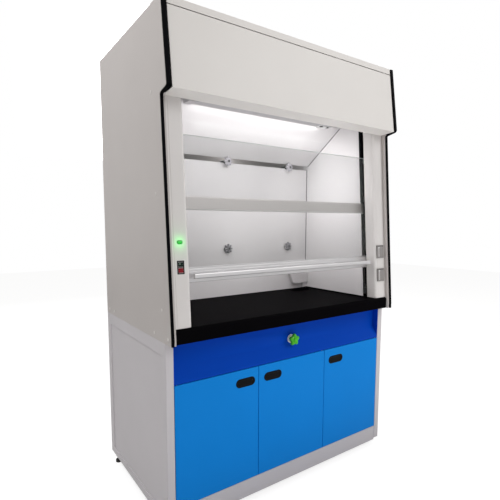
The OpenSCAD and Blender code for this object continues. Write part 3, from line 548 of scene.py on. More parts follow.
def place_on(point, carrier):
    """Place and outward normal where an image point meets the carrier, or is nearest to it."""
    x, y = IMAGE_POINTS[point]
    long_side = max(PHOTO_W, PHOTO_H)
    matrix = camera_matrix()
    towards = Vector((x - PHOTO_W / 2 + SHIFT_X * long_side, PHOTO_H / 2 - y + SHIFT_Y * long_side,
                      -long_side * CAMERA_LENS / SENSOR_WIDTH))
    start = matrix.translation
    towards = (matrix.to_3x3() @ towards).normalized()
    tree = BVHTree.FromPolygons(*finished_shape(carrier))
    place, normal, _, _ = tree.ray_cast(start, towards)
    if place is None:
        # The ray passes by: take the nearest place seen from steps of 50 mm along it
        tries = [tree.find_nearest(start + towards * d * 0.05) for d in range(20, 100)]
        place, normal, _, _ = min(tries, key=lambda t: t[3])
    if normal.dot(towards) > 0:
        normal = -normal
    return place, normal


def image_place(point):
    """Image x and y of a place in the frame."""
    seen = camera_matrix().inverted() @ Vector(point)
    scale = max(PHOTO_W, PHOTO_H) * CAMERA_LENS / SENSOR_WIDTH
    return (PHOTO_W / 2 - SHIFT_X * PHOTO_W + scale * seen.x / -seen.z,
            PHOTO_H / 2 + SHIFT_Y * PHOTO_W - scale * seen.y / -seen.z)


# ---- Lights ----

def light(name, kind, place, watts, hidden):
    """One lamp and the object that holds it; a hidden one lights but is never seen itself."""
    lamp = bpy.data.lights.new(name, kind)
    lamp.energy = watts
    holder = placed(name, lamp)
    holder.location = place
    holder.visible_camera = holder.visible_glossy = not hidden
    return lamp, holder


def softbox(name, place, target, size, watts, hidden=False, spread=180):
    """A rectangular light aimed at a target."""
    lamp, holder = light(name, "AREA", place, watts, hidden)
    lamp.shape = "RECTANGLE"
    lamp.size, lamp.size_y = size
    lamp.spread = math.radians(spread)
    holder.rotation_euler = (Vector(target) - Vector(place)).to_track_quat("-Z", "Y").to_euler()


def bulb(name, place, radius, watts):
    """A round light that is never seen itself."""
    lamp, _ = light(name, "POINT", place, watts, True)
    lamp.shadow_soft_size = radius
    return lamp


# ---- Operators ----

class HoodStep:
    """One building step that runs with the scene's colours and sizes"""

    bl_options = {"REGISTER", "UNDO"}

    def execute(self, context):
        """Builds the step."""
        self.build(context.scene.hood_colours, context.scene.hood_sizes)
        return {"FINISHED"}


class HOOD_OT_stage(HoodStep, bpy.types.Operator):
    """Sets up the floor, the soft lights, the white surround and the camera"""

    bl_idname = "hood.stage"
    bl_label = "Studio and Camera"

    def surround(self):
        """White where it is seen or mirrored, and a plain soft light everywhere else."""
        world = bpy.data.worlds.new("Surround")
        bpy.context.scene.world = world
        tree = empty_tree(world)
        ray = add(tree, "LightPath").outputs
        seen = ray["Is Camera Ray"]
        for kind in ("Is Glossy Ray", "Is Transmission Ray"):
            seen = add(tree, "Math", {0: seen, 1: ray[kind]}, operation="MAXIMUM").outputs[0]
        soft = add(tree, "Background", {"Color": (1.0, 0.985, 0.97, 1.0), "Strength": 0.38})
        white = add(tree, "Background", {"Color": (1, 1, 1, 1), "Strength": 1.0})
        mixed = add(tree, "MixShader", {0: seen, 1: soft.outputs[0], 2: white.outputs[0]})
        add(tree, "OutputWorld", {"Surface": mixed.outputs[0]})

    def floor_material(self):
        """Pale floor that stays near white to the camera and still takes a soft shadow."""
        made = bpy.data.materials.new("Pale studio floor")
        tree = empty_tree(made)
        ray = add(tree, "LightPath").outputs["Is Camera Ray"]
        matt = add(tree, "BsdfDiffuse", {"Color": (0.8, 0.8, 0.8, 1)})
        shadowed = add(tree, "BsdfDiffuse", {"Color": (0.42, 0.42, 0.42, 1)})
        glow = add(tree, "Emission", {"Color": (1, 1, 1, 1), "Strength": 0.8})
        shown = add(tree, "AddShader", {0: shadowed.outputs[0], 1: glow.outputs[0]})
        mixed = add(tree, "MixShader", {0: ray, 1: matt.outputs[0], 2: shown.outputs[0]})
        add(tree, "OutputMaterial", {"Surface": mixed.outputs[0]})
        return made

    def build(self, colours, sizes):
        """Makes the stage."""
        self.floor()
        self.lights()
        self.surround()
        self.camera()

    def floor(self):
        """A wide floor under the hood."""
        half = 12.0
        corners = [(-half, -half, 0), (half, -half, 0), (half, half, 0), (-half, half, 0)]
        mesh = bpy.data.meshes.new("floor")
        mesh.from_pydata(corners, [], [(0, 1, 2, 3)])
        mesh.materials.append(self.floor_material())
        floor = placed("floor", mesh)

    def lights(self):
        """Studio lights, the floor's bounce and the hidden lights that carry the tube's glow."""
        softbox("key_light", (2.5, -3.7, 4.3), (0, 0, 1.5), (3.0, 2.4), 88)
        softbox("floor_bounce", (0.45, -1.7, 0.03), (0.45, -1.7, 1.0), (2.5, 0.9), 18, True)
        softbox("left_bounce", (-2.0, -0.2, 0.03), (-1.8, -0.2, 1.0), (1.0, 1.8), 3, True)
        softbox("side_light", (-2.5, -0.1, 4.4), (-0.75, 0.1, 2.1), (1.8, 1.8), 54)
        softbox("back_light", (0.8, 4.6, 3.6), (0, 0, 1.2), (3.0, 2.4), 80)
        softbox("chamber_light", (-0.08, -0.24, 1.93), (-0.08, 0.21, 1.40), (0.9, 0.15), 2.8, True)
        softbox("tube_light", (0, -0.1, 2.027), (0, 0.06, 1.85), (0.94, 0.02), 0.34, True)
        bulb("low_light", (0.12, -0.15, 1.38), 0.15, 1.4)
        softbox("wall_light", (0.2, -0.2, 1.75), (0.64, -0.07, 1.66), (0.3, 0.4), 0.9, True, 120)
        bulb("slot_light", (0.1, 0.33, 1.96), 0.06, 0.8)

    def camera(self):
        """The camera that took the photograph."""
        data = bpy.data.cameras.new("photo_camera")
        data.sensor_fit = "AUTO"
        data.sensor_width = SENSOR_WIDTH
        data.lens = CAMERA_LENS
        data.shift_x = SHIFT_X
        data.shift_y = SHIFT_Y
        camera = placed("photo_camera", data)
        camera.matrix_world = camera_matrix()
        bpy.context.scene.camera = camera
        bpy.context.scene.view_settings.view_transform = "Standard"


class HOOD_OT_carcass(HoodStep, bpy.types.Operator):
    """Coats the side panels, the back and the base cabinet"""

    bl_idname = "hood.carcass"
    bl_label = "Carcass"

    def build(self, colours, sizes):
        """Dresses the fixed sheet-metal parts."""
        # Sides and back take the darker copy of the white coat: painted shade
        side = finish_of("Grey powder coat", powder_coat, colours.side)
        base = finish_of("Cabinet powder coat", powder_coat, colours.base)
        dress("hood_sides", side, sizes.sheet_edge)
        dress("back_panel", side, sizes.sheet_edge)
        dress("base_sides", base, sizes.board_edge)
        for node in ("base_back", "base_floor", "base_dividers", "base_shelves", "plinth"):
            dress(node, base, sizes.sheet_edge)
        dress("levelling_feet", finish_of("Black rubber"), sizes.sheet_edge)


class HOOD_OT_front(HoodStep, bpy.types.Operator):
    """Coats the fascia, roof and posts, fits the edge trim and the posts' cover sheets"""

    bl_idname = "hood.front"
    bl_label = "Fascia, Posts and Trim"

    def build(self, colours, sizes):
        """Dresses the front and adds the covers."""
        coat = finish_of("White powder coat", powder_coat, colours.front)
        dress("fascia", coat, sizes.sheet_edge)
        dress("roof", coat, sizes.sheet_edge)
        trim = finish_of("Black trim", moulded_plastic, colours.trim, 0.5, 0.02)
        dress("edge_trims", trim, 2.0 * MM)
        # The posts and their covers take the darker copy of the white coat: painted shade
        coat = finish_of("Post powder coat", powder_coat, colours.post)
        for node in ("post_left", "post_right"):
            dress(node, coat, sizes.sheet_edge)
            self.cover(node, coat, sizes)

    def cover(self, node, coat, sizes):
        """Thin screwless cover on a post's face, which leaves a joint near the side panel."""
        low, high = lean_box(node)
        inner, outer = 24 * MM, 17 * MM
        left = low.x + (outer if node == "post_left" else inner)
        right = high.x - (inner if node == "post_left" else outer)
        bottom = low.z + 8 * MM
        top = high.z - 100 * MM
        sheet = rounded_block((left, low.y - sizes.cover_sheet, bottom),
                              (right, low.y + MM, top), 0.5 * MM, 2)
        piece(node + "_cover", *sheet, coat, "carcass", matrix=TO_WORLD)


class HOOD_OT_side_screws(HoodStep, bpy.types.Operator):
    """Turns the domed screws that hold the side panels"""

    bl_idname = "hood.side_screws"
    bl_label = "Side Screws"

    def build(self, colours, sizes):
        """Makes one domed head with a small round recess at each CAD screw."""
        metal = finish_of("Painted screw", moulded_plastic, linear("dedad7"), 0.3, 0.5)
        radius, height = sizes.screw_dome, 2 * MM
        # A dome and its recess, as shares of the head's radius and height
        shape = [(0.0, -0.5), (1.0, -0.5), (1.0, 0.25), (0.9, 0.6), (0.7, 0.85), (0.45, 1.0),
                 (0.42, 1.0), (0.36, 0.1), (0.0, 0.1)]
        profile = [(r * radius, h * height) for r, h in shape]
        heads = [turned(profile, place, (math.copysign(1, place[0]), 0, 0), 24)
                 for place in self.heads(frame["nodes"]["side_screws"])]
        piece("side_screw_heads", *joined(heads), metal, "carcass", ("side_screws",))

    def heads(self, node):
        """Middle of each screw head's seat, read from the CAD heads."""
        work = bmesh.new()
        work.from_mesh(node.data)
        bmesh.ops.remove_doubles(work, verts=work.verts, dist=0.01 * MM)
        places, seen = [], set()
        for start in work.verts:
            if start.index in seen:
                continue
            stack, island = [start], []
            while stack:
                v = stack.pop()
                if v.index in seen:
                    continue
                seen.add(v.index)
                island.append(v.co.copy())
                stack += [e.other_vert(v) for e in v.link_edges]
            middle = sum(island, Vector()) / len(island)
            outer = max(abs(c.x) for c in island) - 2 * MM
            places.append((math.copysign(outer, middle.x), middle.y, middle.z))
        work.free()
        return places


class HOOD_OT_worktop(HoodStep, bpy.types.Operator):
    """Finishes the dished worktop and fits the drip cup with its strainer"""

    bl_idname = "hood.worktop"
    bl_label = "Worktop"

    def build(self, colours, sizes):
        """Dresses the worktop and adds the strainer."""
        resin = finish_of("Cast epoxy", cast_epoxy, colours.worktop)
        dress("worktop", resin, 2.5 * MM)
        dress("drip_cup", resin, 1.0 * MM)
        low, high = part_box("drip_cup")
        middle = (low + high) / 2
        depth_in_cup = 108 * MM
        level = high.z - depth_in_cup
        inner, outer, pitch, half_bar = 15 * MM, 17 * MM, 4.4 * MM, 0.8 * MM
        bars = []
        for k in range(-3, 4):
            across = k * pitch
            half = math.sqrt(inner ** 2 - across ** 2)
            bars.append(rounded_block(
                (middle.x - half, middle.y + across - half_bar, level),
                (middle.x + half, middle.y + across + half_bar, level + 2 * MM), 0.3 * MM, 1))
        ring = turned([(inner, 0.0), (outer, 0.0), (outer, 2.4 * MM), (inner, 2.4 * MM)],
                      (middle.x, middle.y, level), (0, 0, 1))
        piece("strainer", *joined(bars + [ring]), finish_of("Zinc plate"), "carcass")


class HOOD_OT_doors(HoodStep, bpy.types.Operator):
    """Finishes the three doors and their pivots"""

    bl_idname = "hood.doors"
    bl_label = "Doors"

    def build(self, colours, sizes):
        """Dresses the doors and adds a pivot plate at each corner that carries one."""
        laminate = finish_of("Blue laminate", pressed_laminate, colours.door)
        dress("door_pivot_pins", finish_of("Zinc plate"))
        for name in ("left", "middle", "right"):
            dress("door_" + name, laminate, sizes.board_edge)
            self.pivot_plates("door_" + name)

    def pivot_plates(self, node):
        """Screwed plates at the bottom and the top of a door's pivot side."""
        low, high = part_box(node)
        pivot = joint(node + "_hinge")["pos_m"][0]
        side = 1 if pivot - low.x < high.x - pivot else -1
        behind, reach, inset, tall, sheet = 10 * MM, 46 * MM, 1 * MM, 34 * MM, 1.6 * MM
        x0, x1 = sorted((pivot - side * behind, pivot + side * reach))
        head = in_mm((3.4, 0), (3.4, 0.8), (1.6, 1.6))
        plates = []
        for z0, z1 in ((low.z + inset, low.z + tall), (high.z - tall, high.z - inset)):
            plates.append(rounded_block((x0, high.y - 0.2 * MM, z0), (x1, high.y + sheet, z1),
                                        0.7 * MM, 2))
            plates += [turned(head, (pivot + side * d * MM, high.y + 1.5 * MM, (z0 + z1) / 2),
                              (0, 1, 0), 16) for d in (18, 36)]
        piece(node + "_pivot_plates", *joined(plates), finish_of("Zinc plate"), node)


class HOOD_OT_finger_pulls(HoodStep, bpy.types.Operator):
    """Moulds the recessed finger pulls"""

    bl_idname = "hood.finger_pulls"
    bl_label = "Finger Pulls"

    def build(self, colours, sizes):
        """Lofts a soft-lipped cup for each door."""
        plastic = finish_of("Black pull plastic", moulded_plastic, linear("0b0a0a"), 0.4, 0.12)
        for name in ("left", "middle", "right"):
            node = "pull_" + name
            low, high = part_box(node)
            # The lip is measured from the front of the CAD pull, the cup from its back
            lip = in_mm((0, 2), (0, 1), (0.7, 0.3), (2, 0), (6, 0), (8.6, 0.5), (9.8, 2))
            cup = in_mm((10.2, -5), (11.5, -3), (14.5, -2), (21, -2))
            rings = ([(inset, low.y + y) for inset, y in lip]
                     + [(inset, high.y + y) for inset, y in cup])
            centre = ((low.x + high.x) / 2, 0, (low.z + high.z) / 2)
            form = slot_form(rings, high.x - low.x, high.z - low.z, centre)
            piece(node + "_cup", *form, plastic, "door_" + name, (node,), angle=50)


class HOOD_OT_service_panel(HoodStep, bpy.types.Operator):
    """Coats the recessed service panel and fits its water valve"""

    bl_idname = "hood.service_panel"
    bl_label = "Service Panel"

    def build(self, colours, sizes):
        """Dresses the panel and models the valve's knob and plate."""
        coat = finish_of("Blue powder coat", powder_coat, colours.service, 0.05)
        dress("service_panel", coat)
        dress("valve_body", finish_of("Machined brass", machined_brass), 1.0 * MM)
        low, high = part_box("valve_plate")
        middle = (low + high) / 2
        radius = (high.x - low.x) / 2
        rosette = turned([(6.2 * MM, 0), (radius, 0), (radius, 1.8 * MM),
                          (radius - 1.2 * MM, 3 * MM), *in_mm((10, 3), (9, 2.2), (6.2, 2.2))],
                         (middle.x, high.y, middle.z), (0, -1, 0))
        piece("valve_rosette", *rosette, finish_of("White moulding"), "carcass", ("valve_plate",))
        self.knob(colours)

    def knob(self, colours):
        """Five-lobed valve knob with a raised cap on its spindle."""
        low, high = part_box("valve_knob")
        centre = Vector(((low.x + high.x) / 2, low.y + 24 * MM, joint("valve_turn")["pos_m"][2]))
        rings = in_mm((6, 0), (1.5, 0.4), (0, 2.5), (0, 11), (1.2, 14), (4, 16.5), (9, 18.5),
                      (15, 19.5))
        body = star_form(66 * MM, 5, 9 * MM, rings, centre)
        cap = turned(in_mm((13.2, 17), (13.2, 21), (12, 23), (9, 24), (0, 24)), centre,
                     (0, -1, 0))
        spindle = turned(in_mm((5, -30), (5, 1)), centre, (0, -1, 0), 24)
        green = finish_of("Green moulding", moulded_plastic, colours.valve, 0.3)
        piece("valve_star", *joined([body, cap, spindle]), green, "valve_knob", ("valve_knob",),
              angle=40)


class HOOD_OT_liner(HoodStep, bpy.types.Operator):
    """Finishes the chamber's liner, baffles, outlet and corner seals"""

    bl_idname = "hood.liner"
    bl_label = "Chamber Liner"

    def build(self, colours, sizes):
        """Dresses the chamber and runs the seals."""
        board = finish_of("Phenolic liner", phenolic_liner, colours.liner)
        for node in ("side_liners", "lower_baffle", "upper_baffle", "ceiling"):
            dress(node, board, 0.8 * MM)
        dress("water_outlet", board, 1.0 * MM)
        black = finish_of("Black stud plastic", moulded_plastic, linear("08080a"), 0.5, 0.02)
        dress("baffle_studs", black, 1.0 * MM)
        self.seals(sizes)

    def seals(self, sizes):
        """Sealant in the corners where the baffles meet the side liners."""
        low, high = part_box("lower_baffle")
        edge = high.x + 0.5 * MM
        up_low, up_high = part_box("upper_baffle")
        # Where the strips start and end, as (y, z)
        runs = (((low.y, low.z + 6 * MM), (low.y, high.z)),
                ((up_high.y - 4 * MM, up_low.z + 1 * MM), (up_low.y + 2 * MM, up_high.z - 5 * MM)))
        strips = [self.strip((side * edge, *start), (side * edge, *end), side, sizes.seal_width)
                  for side in (-1, 1) for start, end in runs]
        piece("corner_seals", *joined(strips), finish_of("Grey sealant", sealant), "carcass")

    def strip(self, start, end, side, width):
        """A fillet strip between two places along a corner, towards the front and the middle."""
        start, end = Vector(start), Vector(end)
        run = (end - start).normalized()
        front = Vector((side, 0, 0)).cross(run) * side
        if front.y > 0:
            front = -front
        inward = Vector((-side, 0, 0))
        shape = [(-0.2, -0.2), (1.0, -0.2), (0.45, 0.45), (-0.2, 1.0)]
        rings = [[place + inward * width * u + front * width * v for u, v in shape]
                 for place in (start, end)]
        return loft(rings)


class HOOD_OT_baffle_knobs(HoodStep, bpy.types.Operator):
    """Moulds the star knobs that set the baffles"""

    bl_idname = "hood.baffle_knobs"
    bl_label = "Baffle Knobs"

    def build(self, colours, sizes):
        """Makes a lobed knob with a dark insert on each stud."""
        # Upper knobs take a lighter copy and lower knobs a darker copy of one grey plastic: painted
        # light above, painted shade below where the knobs sit in more shade
        rows = (("Pale knob plastic", "c9c6cc", (1, 2)), ("Grey knob plastic", "8a888c", (3, 4)))
        dark = finish_of("Dark insert")
        for name, tone, numbers in rows:
            grey = finish_of(name, moulded_plastic, linear(tone), 0.35, 0.2)
            for i in numbers:
                self.knob(f"baffle_knob_{i}", grey, dark)

    def knob(self, node, grey, dark):
        """One lobed knob with a raised rim round its dark insert."""
        low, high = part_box(node)
        middle = (low + high) / 2
        seat = (middle.x, high.y, middle.z)
        rings = in_mm((5, 0), (1, 0.6), (0, 2.5), (0, 9), (1, 12), (3.5, 14.5), (9, 16), (17, 16))
        star = star_form(high.z - low.z, 8, 11 * MM, rings, seat)
        collar = turned(in_mm((12.4, 14), (12.4, 18), (11.2, 20), (8, 20), (7, 17)), seat,
                        (0, -1, 0))
        piece(node + "_star", *joined([star, collar]), grey, node, (node,), angle=40)
        insert = turned(in_mm((8, 15), (8, 18.6), (5, 19.4)), seat, (0, -1, 0), 24)
        piece(node + "_insert", *insert, dark, node)


class HOOD_OT_lamp(HoodStep, bpy.types.Operator):
    """Fits the chamber lamp with its tube, end caps and clip"""

    bl_idname = "hood.lamp"
    bl_label = "Lamp"

    def build(self, colours, sizes):
        """Dresses the lamp and turns its tube and caps."""
        coat = finish_of("Lamp coat", powder_coat, linear("c9c7c9"))
        dress("lamp_housing", coat, 0.8 * MM)
        low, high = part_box("lamp_tube")
        start = (-high.x, (low.y + high.y) / 2, (low.z + high.z) / 2)
        radius = (high.z - low.z) / 2
        length_all = 2 * high.x
        cap = 27 * MM
        lit_from, lit_to = cap - 3 * MM, length_all - cap + 3 * MM
        glow = turned([(radius - 0.6 * MM, lit_from), (radius, lit_from + 2 * MM),
                       (radius, lit_to - 2 * MM), (radius - 0.6 * MM, lit_to)], start, (1, 0, 0))
        piece("lamp_glow", *glow, finish_of("Frosted tube", frosted_tube), "carcass",
              ("lamp_tube",))
        caps = [turned([(radius - 2 * MM, s), (radius, s + 2 * MM), (radius, s + cap - 2 * MM),
                        (radius - 1.5 * MM, s + cap)], start, (1, 0, 0))
                for s in (0.0, length_all - cap)]
        piece("lamp_caps", *joined(caps), finish_of("Zinc plate"), "carcass")
        self.clip()

    def clip(self):
        """White spring clip with two dark pads under the lamp, where the photograph shows it."""
        place, _ = place_on("lamp_clip", frame["nodes"]["lamp_housing"])
        half, depth, drop = 34 * MM, 22 * MM, 9 * MM
        body = rounded_block((place.x - half, place.y - depth, place.z - drop),
                             (place.x + half, place.y + depth, place.z + 2 * MM), 3 * MM)
        piece("lamp_clip_body", *body, finish_of("White moulding"), "carcass")
        front, under = place.y - depth, place.z - drop
        pads = [rounded_block((x - 9 * MM, front - 1 * MM, under - 1.5 * MM),
                              (x + 9 * MM, front + 12 * MM, under + 3 * MM), 1.5 * MM)
                for x in (place.x - 26 * MM, place.x + 26 * MM)]
        piece("lamp_clip_pads", *joined(pads), finish_of("Dark insert"), "carcass")


class HOOD_OT_sash(HoodStep, bpy.types.Operator):
    """Builds the sliding sash: glass, grooved rail, handle bar and brackets"""

    bl_idname = "hood.sash"
    bl_label = "Sash"

    def build(self, colours, sizes):
        """Dresses the glass and arms, and models the rail and handle."""
        metal = finish_of("Satin aluminium", anodised_aluminium, linear("d0cecf"))
        dress("sash_glass", finish_of("Laminated glass", laminated_glass, 0.15))
        dress("sash_arms", finish_of("Zinc plate"), 1.0 * MM)
        self.glass_edge()
        self.rail(metal)
        self.handle(metal)

    def glass_edge(self):
        """Top edge of the sliding pane, ground and given a polish, in pale paint: partly the
        glass's tint, partly a painted highlight.
        """
        low, high = lean_box("sash_glass")
        edge = rounded_block((low.x + 2 * MM, low.y, high.z - 2.5 * MM),
                             (high.x - 2 * MM, high.y, high.z), 0.8 * MM, 2)
        tint_and_highlight = finish_of("Polished glass edge", edge_tint_and_highlight)
        piece("sash_glass_edge", *edge, tint_and_highlight, "sash", matrix=TO_WORLD)

    def rail(self, metal):
        """Bottom rail with a bright upper lip, two grooves and a rounded foot."""
        low, high = lean_box("sash_rail")
        corners = rail_corners(low, high, 6 * MM, 8 * MM)
        # Each groove is 5 mm wide at the face and 3 mm at its floor, 2 mm down
        for groove in (16, 50):
            corners += [(low.y + deep * MM, high.z - (groove + down) * MM, 0.3 * MM)
                        for deep, down in ((0, 0), (2, 1), (2, 4), (0, 5))]
        profile = bar(rounded_outline(corners, 0.5 * MM, 3), low.x, high.x)
        piece("sash_rail_profile", *profile, metal, "sash", ("sash_rail",), matrix=TO_WORLD)

    def handle(self, metal):
        """Handle bar with capped ends on two brackets with foot plates."""
        low, high = lean_box("sash_handle")
        depth = 18 * MM
        n0, n1, s0, s1 = low.y, low.y + depth, low.z, high.z
        corners = [(n0, s0, 5 * MM), (n1, s0, 4 * MM), (n1, s1, 3 * MM), (n0, s1, 4 * MM)]
        parts = [bar(rounded_outline(corners, 4 * MM, 5), low.x, high.x, 1.5 * MM)]
        left_bracket, right_bracket = -435 * MM, 338 * MM
        for x in (left_bracket, right_bracket):
            parts.append(rounded_block((x - 13 * MM, n1 - MM, s0 + 4 * MM),
                                       (x + 13 * MM, high.y, s1 - 4 * MM), 2 * MM))
            parts.append(rounded_block((x - 22 * MM, high.y - 3 * MM, s0 - 2 * MM),
                                       (x + 22 * MM, high.y, s1 + 2 * MM), 1.2 * MM))
        piece("sash_handle_bar", *joined(parts), metal, "sash", ("sash_handle",),
              matrix=TO_WORLD)


class HOOD_OT_fixed_window(HoodStep, bpy.types.Operator):
    """Glazes the fixed upper window with its rail and the black sash channels"""

    bl_idname = "hood.fixed_window"
    bl_label = "Fixed Window"

    def build(self, colours, sizes):
        """Dresses the glass and channels, and models the rail."""
        metal = finish_of("Warm satin aluminium", anodised_aluminium, linear("d2cdcb"))
        dress("fixed_glass", finish_of("Clear glass", laminated_glass, 0.05))
        trim = finish_of("Black trim", moulded_plastic, colours.trim, 0.5, 0.02)
        dress("sash_channels", trim, 1.0 * MM)
        low, high = lean_box("fixed_glass_rail")
        corners = rail_corners(low, high, 4 * MM, 5.5 * MM)
        profile = bar(rounded_outline(corners, MM, 3), low.x, high.x)
        piece("fixed_rail_profile", *profile, metal, "carcass", ("fixed_glass_rail",),
              matrix=TO_WORLD)
        # White strip along the rail's lower front edge: a painted highlight, made of the shared
        # white moulding
        highlight_strip = rounded_block((low.x, low.y - 0.8 * MM, low.z + 0.4 * MM),
                             (high.x, low.y + MM, low.z + 3.6 * MM), 0.6 * MM, 2)
        piece("fixed_rail_bead", *highlight_strip, finish_of("White moulding"), "carcass", matrix=TO_WORLD)


class HOOD_OT_balance(HoodStep, bpy.types.Operator):
    """Finishes the belts, pulleys, shaft and counterweights behind the posts"""

    bl_idname = "hood.balance"
    bl_label = "Sash Balance"

    def build(self, colours, sizes):
        """Dresses the drive."""
        zinc = finish_of("Zinc plate")
        dress("drive_belts", finish_of("Black rubber"))
        dress("cross_shaft", zinc, 0.6 * MM)
        dress("drive_bearings", zinc, 1.0 * MM)
        grey = finish_of("Grey pulley plastic", moulded_plastic, linear("8b8b8e"), 0.45)
        dress("idler_pulleys", grey, 0.6 * MM)
        dress("counterweights", finish_of("Painted iron", painted_iron), 2.5 * MM)


class HOOD_OT_switches(HoodStep, bpy.types.Operator):
    """Fits the indicator light and the rocker switches on the left post"""

    bl_idname = "hood.switches"
    bl_label = "Switches"

    def build(self, colours, sizes):
        """Dresses the rockers and models the lens."""
        dress("switch_bezel", finish_of("Switch plastic"), 0.8 * MM)
        for node, name, tone in (("rocker_upper", "Dark rocker", "0c2019"),
                                 ("rocker_lower", "Red rocker", "86222a")):
            dress(node, finish_of(name, moulded_plastic, linear(tone), 0.3, 0.15), 1.0 * MM)
        self.lens(colours)
        place, normal = place_on("pilot_dot", frame["nodes"]["rocker_upper"])
        dot = turned(in_mm((2.6, -0.5), (2.6, 0.4), (1.4, 0.9)), place, normal, 20)
        pilot = finish_of("Pilot lens", lit_lens, linear("d8efdc"), 0.35)
        piece("pilot_dot", *dot, pilot, "rocker_upper")

    def lens(self, colours):
        """Domed green lens in a thin dark ring, and the light that it throws on the post."""
        low, high = lean_box("indicator_light")
        centre = Vector(((low.x + high.x) / 2, 0, (low.z + high.z) / 2))

        def form(*rings):
            """Slot-shaped skin over (inset, depth behind the CAD light's front) rings."""
            return slot_form([(inset, low.y + depth) for inset, depth in in_mm(*rings)],
                             high.x - low.x, high.z - low.z, centre)

        green = finish_of("Green lens", lit_lens, colours.light, 0.5)
        piece("indicator_lens", *form((1.5, 4), (1.5, 1.6), (2.4, 0.6), (4.5, 0.1), (7, 0)),
              green, "carcass", ("indicator_light",), matrix=TO_WORLD)
        in_front = TO_WORLD @ Vector((centre.x, low.y - 20 * MM, centre.z))
        bulb("indicator_halo", in_front, 4 * MM, 0.045).color = colours.light
        piece("indicator_ring", *form((0, 4), (0, 2.4), (0.5, 2), (1.5, 2)),
              finish_of("Switch plastic"), "carcass", matrix=TO_WORLD)


class HOOD_OT_sockets(HoodStep, bpy.types.Operator):
    """Fits the socket outlets and their flip covers on the right post"""

    bl_idname = "hood.sockets"
    bl_label = "Sockets"

    def build(self, colours, sizes):
        """Dresses the sockets and adds to each cover a lip, a pale strip that is a painted
        highlight, a stud and a dark strip that is a painted shadow at the top.
        """
        grey = finish_of("Grey socket plastic", moulded_plastic, colours.socket, 0.42)
        dress("socket_bodies", grey, 1.2 * MM)
        for name in ("upper", "lower"):
            self.cover("socket_cover_" + name, grey)

    def cover(self, node, grey):
        """Dresses one cover and models what stands on it."""
        dress(node, grey, 1.5 * MM)
        low, high = lean_box(node)
        # Pale and dark finishes for a painted highlight and a painted shadow on the cover
        pale = finish_of("Pale bead", moulded_plastic, linear("cfcbcc"), 0.3)
        dark = finish_of("Dark hinge strip", moulded_plastic, linear("454144"), 0.4, 0.2)
        grip = [(low.y + y, low.z + z) for y, z in in_mm((-2.5, 4), (1, 2), (1, 9), (-2.5, 7))]
        lip = bar(rounded_outline(grip, 0.8 * MM), low.x + 12 * MM, high.x - 12 * MM, 1.0 * MM)
        piece(node + "_lip", *lip, grey, node, matrix=TO_WORLD)
        # Dark strip along the cover's top: painted shadow in the gap where the lid swings
        hinge = rounded_block((low.x + 4.5 * MM, low.y - 0.6 * MM, high.z - 4 * MM),
                              (high.x - 4.5 * MM, low.y + MM, high.z - 0.5 * MM), 0.5 * MM, 2)
        piece(node + "_hinge_strip", *hinge, dark, node, matrix=TO_WORLD)
        # Pale strip near the cover's left edge: painted highlight along its rounded edge
        highlight_strip = rounded_block((low.x + 12.5 * MM, low.y - 1.2 * MM, low.z + 3 * MM),
                             (low.x + 18.5 * MM, low.y + MM, high.z - 14 * MM), MM, 2)
        piece(node + "_bead", *highlight_strip, pale, node, matrix=TO_WORLD)
        stud = turned(in_mm((4.4, -1), (4.4, 0.8), (3.2, 1.8)),
                      (low.x + 16.5 * MM, low.y, high.z - 11 * MM), (0, -1, 0), 20)
        piece(node + "_stud", *stud, finish_of("White moulding"), node, matrix=TO_WORLD)


class HOOD_OT_roof_fittings(HoodStep, bpy.types.Operator):
    """Fits the duct collar's screws and the terminal box on the roof"""

    bl_idname = "hood.roof_fittings"
    bl_label = "Roof Fittings"

    def build(self, colours, sizes):
        """Dresses the collar and models what is fixed round it."""
        zinc = finish_of("Zinc plate")
        dress("exhaust_collar", zinc, 0.5 * MM)
        low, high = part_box("exhaust_collar")
        middle = (low + high) / 2
        _, roof_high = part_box("roof")
        circle = (high.x - low.x) / 2 - 12 * MM
        flange_top = roof_high.z + 3 * MM
        head = in_mm((5, 0), (5, 1.2), (3.4, 2.6), (0, 3))
        screws = [turned(head, (middle.x + circle * math.cos(a), middle.y + circle * math.sin(a),
                                flange_top), (0, 0, 1), 16)
                  for a in (2 * math.pi * (k + 0.5) / 8 for k in range(8))]
        piece("collar_screws", *joined(screws), zinc, "carcass")
        self.terminal_box(colours, roof_high)

    def terminal_box(self, colours, roof_high):
        """Grey terminal box for the hood's supply, with a screwed lid and two capped glands."""
        grey = finish_of("Grey socket plastic", moulded_plastic, colours.socket, 0.42)
        x0, x1 = 430 * MM, 570 * MM
        y1 = roof_high.y - 60 * MM
        y0 = y1 - 110 * MM
        deck = roof_high.z
        body_top, lid_bottom, lid_top = deck + 46 * MM, deck + 40 * MM, deck + 52 * MM
        lap = 2 * MM
        parts = [rounded_block((x0, y0, deck), (x1, y1, body_top), 4 * MM),
                 rounded_block((x0 - lap, y0 - lap, lid_bottom), (x1 + lap, y1 + lap, lid_top),
                               3 * MM)]
        corner, gland_in = 12 * MM, 45 * MM
        screw = in_mm((4.5, 0), (4.5, 0.8), (3, 1.4), (0, 1.4))
        parts += [turned(screw, (x, y, lid_top), (0, 0, 1), 16)
                  for x in (x0 + corner, x1 - corner) for y in (y0 + corner, y1 - corner)]
        gland = in_mm((12, 0), (12, 7), (10, 8), (10, 16), (8, 20), (0, 21))
        parts += [turned(gland, (x, y0, deck + 22 * MM), (0, -1, 0), 6)
                  for x in (x0 + gland_in, x1 - gland_in)]
        piece("terminal_box", *joined(parts), grey, "carcass", angle=30)


